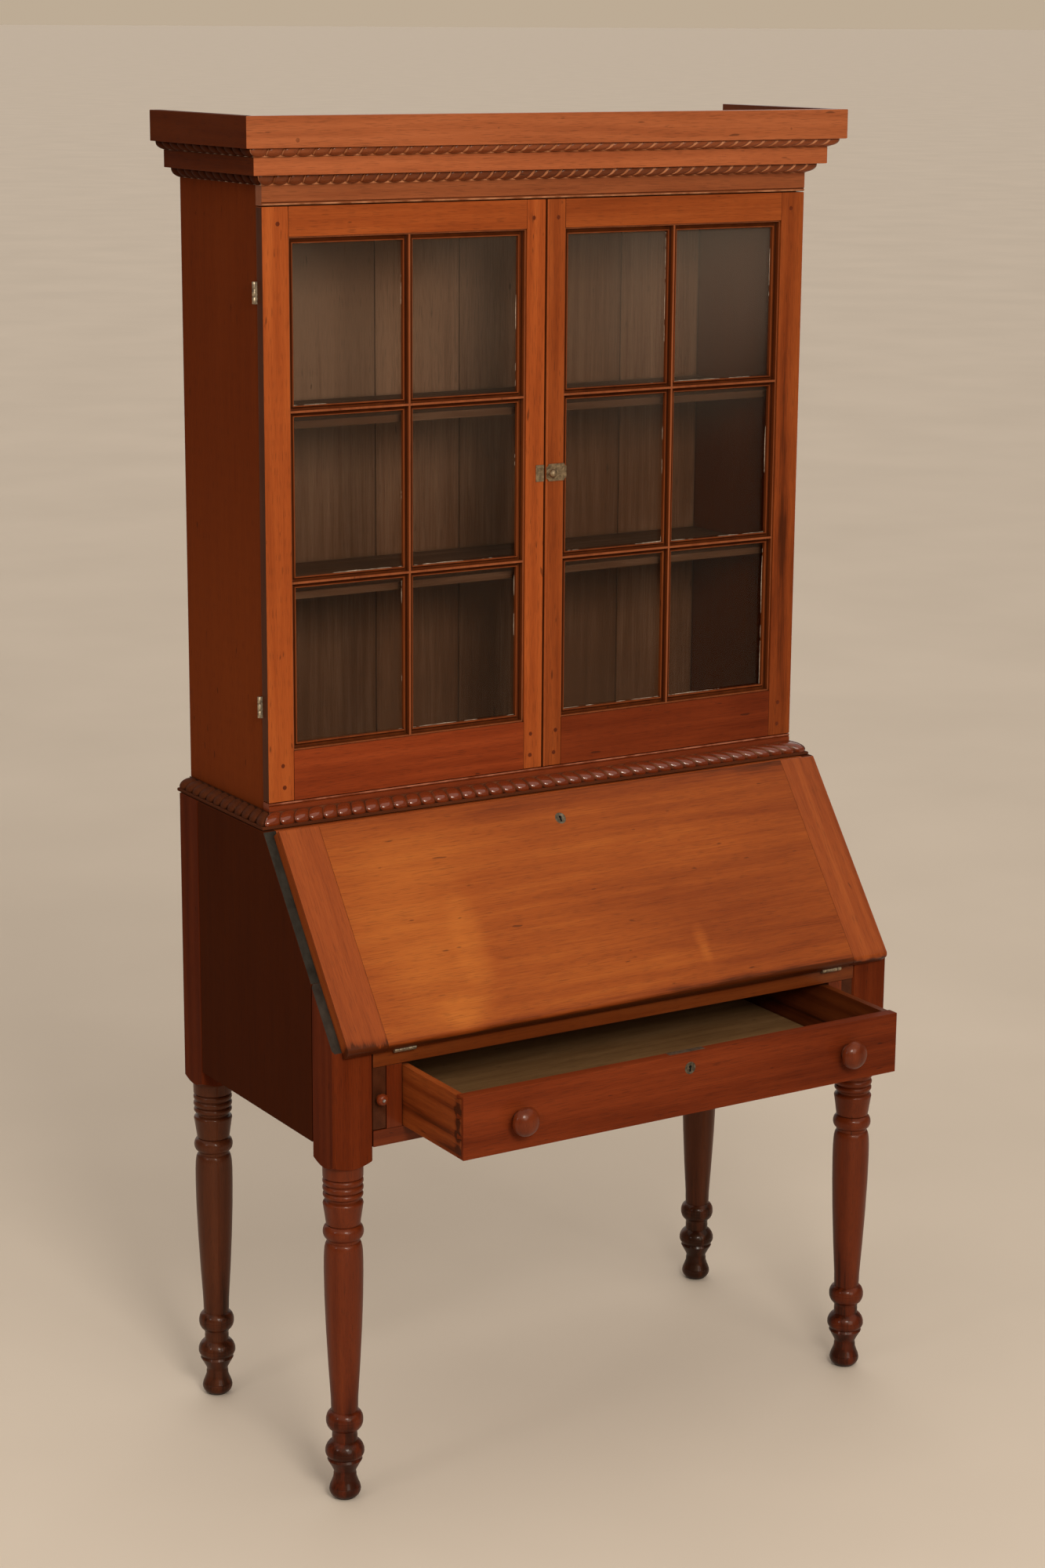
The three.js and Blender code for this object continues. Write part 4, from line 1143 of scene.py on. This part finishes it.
def panes(word):
    low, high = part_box(f"door_{word}_glass")
    across = PANE_COLUMNS + 1
    count = across * (PANE_ROWS + 1)
    rim = [r * across for r in range(PANE_ROWS)] + [PANE_ROWS * across + c for c in range(PANE_COLUMNS)]
    rim += [r * across + PANE_COLUMNS for r in range(PANE_ROWS, 0, -1)] + list(range(PANE_COLUMNS, 0, -1))
    edges = [(a, b, b + count, a + count) for a, b in zip(rim, rim[1:] + rim[:1])]
    for number, (x0, x1, z0, z1) in enumerate(pane_openings(word), 1):
        shape = Solid()
        for y in (low.y, high.y - 0.3 * MM):
            sheet = wavy_sheet(x0 - PANE_LAP, x1 + PANE_LAP, z0 - PANE_LAP, z1 + PANE_LAP, y)
            shape.rows(sheet, wrap=False, caps=False)
        shape.faces += edges
        shape.finish += [0] * len(edges)
        name = f"door_{word}_pane_{number}"
        piece(name, shape, GLASS, f"door_{word}", [f"door_{word}_glass"], smooth=30)


def putty_widths(dice, length, amount):
    """(share along, width) down a broken line of putty that wanders between bare and thick."""
    steps = int(length / (3 * MM))
    level, row = 0.0, []
    for i in range(steps + 1):
        level += dice.uniform(-0.33, 0.33)
        level = max(-1.2, min(1.3, level * 0.96))
        row.append((i / steps, max(0.0, level + amount - 0.35) * 0.9 * MM))
    return row


def putty_lines(word):
    """Lines of old putty squeezed out along the foot, one side and the head of each pane."""
    face_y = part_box(f"door_{word}_glass")[0].y
    front, slope, back, root = face_y - 0.5 * MM, face_y - 0.3 * MM, face_y - 0.05 * MM, -0.4 * MM
    shape = Solid()
    dice = random.Random(7 if word == "left" else 11)
    for x0, x1, z0, z1 in pane_openings(word):
        for (ax, az), (bx, bz), (ix, iz), amount in (
            ((x0, z0), (x1, z0), (0, 1), 0.65), ((x1, z1), (x1, z0), (-1, 0), 0.30),
            ((x0, z1), (x1, z1), (0, -1), 0.20),
        ):
            row = putty_widths(dice, math.hypot(bx - ax, bz - az), amount)
            for (start, start_width), (end, end_width) in zip(row, row[1:]):
                if start_width + end_width < 0.5 * MM:
                    continue
                outline = []
                for t, width, y in (
                    (start, root, front), (end, root, front),
                    (end, end_width, slope), (start, start_width, slope),
                ):
                    outline.append((ax + (bx - ax) * t + ix * width, y, az + (bz - az) * t + iz * width))
                shape.rows([outline, [(x, back, z) for x, _, z in outline]])
    piece(f"door_{word}_putty", shape, PUTTY, f"door_{word}", smooth=60)


def pegs(word, side, finish):
    """Small draw pegs in the corner joints, a hair proud of the face."""
    rail_low, rail_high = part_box(f"door_{word}_rail_bottom")
    lock_x = middle(f"door_{word}_stile_lock")[0] + side * 5 * MM
    hinge_x = middle(f"door_{word}_stile_hinge")[0] - side * 4 * MM
    heights = (middle(f"door_{word}_rail_top")[2] - 5 * MM, rail_high.z - 20 * MM, rail_low.z + 22 * MM)
    profile = [(-2 * MM, PEG_RADIUS), (0.15 * MM, PEG_RADIUS), (0.30 * MM, PEG_RADIUS - 0.6 * MM)]
    shape = Solid()
    dice = random.Random(31 + side)
    for x in (lock_x, hinge_x):
        for z in heights:
            px, pz = x + dice.uniform(-2, 2) * MM, z + dice.uniform(-2, 2) * MM
            squash = dice.uniform(0.85, 1.0)
            place = lambda u, v, height: (px + u * squash, rail_low.y - height, pz + v)
            shape.turning(profile, place, 10)
    piece(f"door_{word}_pegs", shape, finish, f"door_{word}", smooth=30)


def door_hinges(word, side):
    """Two butt hinges: the outer knuckles and a leaf on the door, the middle one and a leaf on the case."""
    pivot_x, pivot_y, _ = JOINTS[f"door_{word}_hinge"]["pos_m"]
    place = upright(pivot_x, pivot_y)
    stile_y = span(f"door_{word}_stile_hinge", 1)[1]
    case_y = span(f"bookcase_side_{word}", 1)[0]
    leaf_y = (stile_y - 1.5 * MM, stile_y - 0.1 * MM)
    plate_y = (case_y - 0.35 * MM, case_y + 0.8 * MM)
    case_x = sorted((pivot_x - side * 22 * MM, pivot_x))
    for level in ("upper", "lower"):
        node = f"door_{word}_hinge_{level}"
        low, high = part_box(node)
        door_x = sorted((low.x if side > 0 else high.x, pivot_x))
        moving, fixed = Solid(), Solid()
        for shape, knuckles, xs, ys in (
            (moving, (0, 2), door_x, leaf_y), (fixed, (1,), case_x, plate_y),
        ):
            barrel(shape, place, low.z, high.z, DOOR_HINGE_RADIUS, 3, knuckles)
            shape.box((xs[0], ys[0], low.z), (xs[1], ys[1], high.z))
        x = pivot_x - side * 14 * MM
        for z in (low.z + 7 * MM, high.z - 7 * MM):
            screw(moving, Vector((x, leaf_y[1], z)), (X_GRAIN, Z_GRAIN, Y_GRAIN), 2.4 * MM, z * 9)
            screw(fixed, Vector((x, plate_y[0], z)), FRONT_FACE, 2.4 * MM, z * 7)
        piece(node + "_leaf", moving, IRON, f"door_{word}", [node])
        piece(f"case_{word}_hinge_{level}_leaf", fixed, IRON, "case")


def meeting_bead():
    """The half round down the edge of the right door where the doors meet."""
    low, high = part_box("door_right_stile_lock")
    radius = 2.1 * MM
    left, back = low.x + 0.1 * MM, low.y + 0.5 * MM
    outline = [(left, back)] + arc((left + radius, low.y + 0.2 * MM), (radius, -1.3 * MM), 180, 0, 8)
    outline.append((left + 2 * radius, back))
    bead = Solid().prism(outline, from_above, low.z + 0.3 * MM, high.z - 0.3 * MM)
    finish = wood("meeting_bead_cherry", CHERRY, Z_GRAIN, tone=0.9, gloss=1.2)
    piece("door_right_meeting_bead", bead, finish, "door_right")


def doors():
    # The right door's tones are below the left door's: painted shade, as less light falls on it.
    tones = {"left": (1.02, 0.92, 1.68, 0.58), "right": (0.80, 0.82, 1.30, 0.55)}
    # Painted shade down the right door's hinge stile.
    painted_shade = [(Vector((0.46, DOOR_FACE_Y, 1.10)), (0.10, 0.10, 0.50), -0.27)]
    look = {"blotch": 0.9, "gloss": 0.6, "coat": 0.03, "bevel": 1.1 * MM, "spots": painted_shade}
    for word, side in SIDES.items():
        stile, top, bottom, bars = tones[word]
        door = f"door_{word}"
        keep(door + "_stile_hinge", CHERRY, Z_GRAIN, tone=stile, end_face=Vector((side, 0, 0)),
             end_colour=DOOR_EDGE, **look)
        keep(door + "_stile_lock", CHERRY, Z_GRAIN, tone=stile * 1.03, **look)
        keep(door + "_rail_top", CHERRY, X_GRAIN, tone=top, **look)
        keep(door + "_rail_bottom", CHERRY_RED, X_GRAIN, tone=bottom, **look)
        sash(word, bars)
        panes(word)
        putty_lines(word)
        pegs(word, side, wood(door + "_peg_cherry", CHERRY_RED, Y_GRAIN, tone=0.8))
        door_hinges(word, side)
    meeting_bead()


doors()


# ---- latch ---------------------------------------------------------------------------------
PLATE_CORNER = 4.5 * MM
TONGUE_HALF = 3.8 * MM
KNOB_BASE_Y = 106 * MM
STRIKE_WIDTH = 15.5 * MM


def latch():
    low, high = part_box("latch_plate")
    x, _, z = JOINTS["latch_turn"]["pos_m"]
    plate = Solid()
    outline = []
    for corner_x, corner_z, start in (
        (high.x, high.z, 180), (low.x, high.z, 270), (low.x, low.z, 0), (high.x, low.z, 90),
    ):
        outline += arc((corner_x, corner_z), (PLATE_CORNER, PLATE_CORNER), start + 90, start, 5)
    face_y = low.y + 0.6 * MM
    plate.prism(outline, from_front, face_y, DOOR_FACE_Y - 0.02 * MM)
    screw(plate, Vector((high.x - 8 * MM, face_y, z)), FRONT_FACE, 3.4 * MM, 0.7)
    boss = [(0, 6.4 * MM), (0.9 * MM, 6.2 * MM), (1.2 * MM, 5.0 * MM)]
    plate.turning(boss, forward(x, low.y + 0.7 * MM, z), 28)
    piece("latch_plate_pressed", plate, BRASS, "door_right", ["latch_plate"], bevel=0.25 * MM)

    profile = [(10.5, 2.4), (13.2, 2.4), (13.3, 4.3), (14.2, 4.5), (15.2, 3.7), (16.6, 3.5), (17.6, 4.6)]
    profile += arc((21.8, 0), (5.9, 7.0), 150, 6, 14)
    knob = Solid()
    knob.turning([(h * MM, r * MM) for h, r in profile], forward(x, KNOB_BASE_Y, z), 36)
    tongue_low = (x - TONGUE_HALF, KNOB_BASE_Y - 2.8 * MM, z - TONGUE_HALF)
    tongue_high = (x + TONGUE_HALF, KNOB_BASE_Y + 0.8 * MM, span("latch_knob", 2)[1])
    knob.box(tongue_low, tongue_high)
    knob.turning([(0, 2.4 * MM), (11 * MM, 2.4 * MM)], forward(x, KNOB_BASE_Y, z), 20)
    piece("latch_knob_turned", knob, BRASS, "latch", ["latch_knob"])

    edge_x = span("door_left_stile_lock", 0)[1]
    face_y = DOOR_FACE_Y - 0.9 * MM
    strike = Solid()
    strike.box((edge_x - STRIKE_WIDTH, face_y, low.z + 0.5 * MM),
               (edge_x - 0.3 * MM, DOOR_FACE_Y, high.z - 0.5 * MM))
    centre = Vector((edge_x - STRIKE_WIDTH * 0.55, face_y, z - 4 * MM))
    screw(strike, centre, FRONT_FACE, 3.0 * MM, 2.2)
    piece("latch_strike_plate", strike, BRASS, "door_left", bevel=0.25 * MM)


latch()


# ---- small marks ---------------------------------------------------------------------------
def nails():
    """Filled nail holes in the front of the cornice fascia."""
    low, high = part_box("cornice_upper")
    shape = Solid()
    for x, drop, radius in ((-470, 36, 3.4), (-120, 22, 1.8), (105, 34, 1.6), (440, 30, 1.8)):
        profile = [(-2 * MM, radius * MM), (0.05 * MM, radius * MM), (0.2 * MM, radius * 0.7 * MM)]
        shape.turning(profile, forward(x * MM, low.y, high.z - drop * MM), 14)
    filled = wood("nail_hole_filling", CHERRY_PALE, Y_GRAIN, tone=0.72)
    piece("cornice_nail_heads", shape, filled, "case", smooth=30)


nails()


# ---- studio --------------------------------------------------------------------------------
def floor():
    reach = 600.0
    mesh = bpy.data.meshes.new("floor")
    corners = [(x, y, 0) for x, y in oblong((-reach, reach), (-reach, reach))]
    mesh.from_pydata(corners, [], [(0, 1, 2, 3)])
    mesh.materials.append(pale_floor("floor"))
    linked("floor", mesh)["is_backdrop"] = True


def room():
    """Dim warm light from all round, with a wall colour that only the camera sees."""
    world = bpy.data.worlds.new("studio")
    bpy.context.scene.world = world
    world.use_nodes = True
    tree = world.node_tree
    dim = tree.nodes["Background"]
    dim.inputs["Color"].default_value = (1.0, 0.86, 0.72, 1)
    dim.inputs["Strength"].default_value = 0.14
    wall = tree.nodes.new("ShaderNodeBackground")
    wall.inputs["Color"].default_value = (0.51, 0.41, 0.30, 1)
    seen = tree.nodes.new("ShaderNodeLightPath")
    either = tree.nodes.new("ShaderNodeMixShader")
    tree.links.new(seen.outputs["Is Camera Ray"], either.inputs[0])
    tree.links.new(dim.outputs[0], either.inputs[1])
    tree.links.new(wall.outputs[0], either.inputs[2])
    tree.links.new(either.outputs[0], tree.nodes["World Output"].inputs["Surface"])


def light(name, kind, power, colour, backwards, place=(0, 0, 0), **settings):
    """A light whose beam runs against the direction backwards."""
    data = bpy.data.lights.new(name, kind)
    data.energy = power
    data.color = colour
    for key, value in settings.items():
        setattr(data, key, value)
    lamp = linked(name, data)
    lamp.location = place
    lamp.rotation_mode = "QUATERNION"
    lamp.rotation_quaternion = backwards.to_track_quat("Z", "Y")


def lights():
    for name, towards, degrees, power, colour in (
        ("front_key", (0.0, -1.0, 0.45), 28, 0.7, (1.0, 0.95, 0.86)),
        ("ceiling_bounce", (-0.05, -0.25, 1.0), 110, 1.7, (1.0, 0.94, 0.86)),
        ("back_fill", (0.35, 1.0, 0.40), 70, 0.8, (1.0, 0.94, 0.88)),
    ):
        light(name, "SUN", power, colour, Vector(towards), angle=math.radians(degrees))
    for name, place, target, width, height, power, colour in (
        ("front_softbox", (-1.1, -3.6, 2.9), (-0.1, 0, 1.4), 1.1, 1.1, 88, (1.0, 0.95, 0.88)),
        ("left_softbox", (-4.2, -0.9, 2.4), (0, 0, 1.2), 0.7, 0.9, 16, (1.0, 0.96, 0.92)),
    ):
        backwards = Vector(place) - Vector(target)
        light(name, "AREA", power, colour, backwards, place, shape="RECTANGLE", size=width, size_y=height)


def camera():
    data = bpy.data.cameras.new("camera")
    data.sensor_fit = "AUTO"
    data.sensor_width = 36
    data.lens = 72.42
    data.clip_end = 2000
    viewer = linked("camera", data)
    right = Vector((0.8514, -0.5245, 0.0068)).normalized()
    ahead = Vector((0.511, 0.8264, -0.2364)).normalized()
    up = right.cross(ahead).normalized()
    turned = Matrix((right, up, -ahead)).transposed().to_4x4()
    viewer.matrix_world = Matrix.Translation((-2.6995, -4.2084, 2.2997)) @ turned
    bpy.context.scene.camera = viewer
    bpy.context.scene.view_settings.view_transform = "Standard"


floor()
room()
lights()
camera()

boxes = {"cad": CAD_BOX, "visual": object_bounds()}
{key: [list(corner) for corner in box] for key, box in boxes.items()}
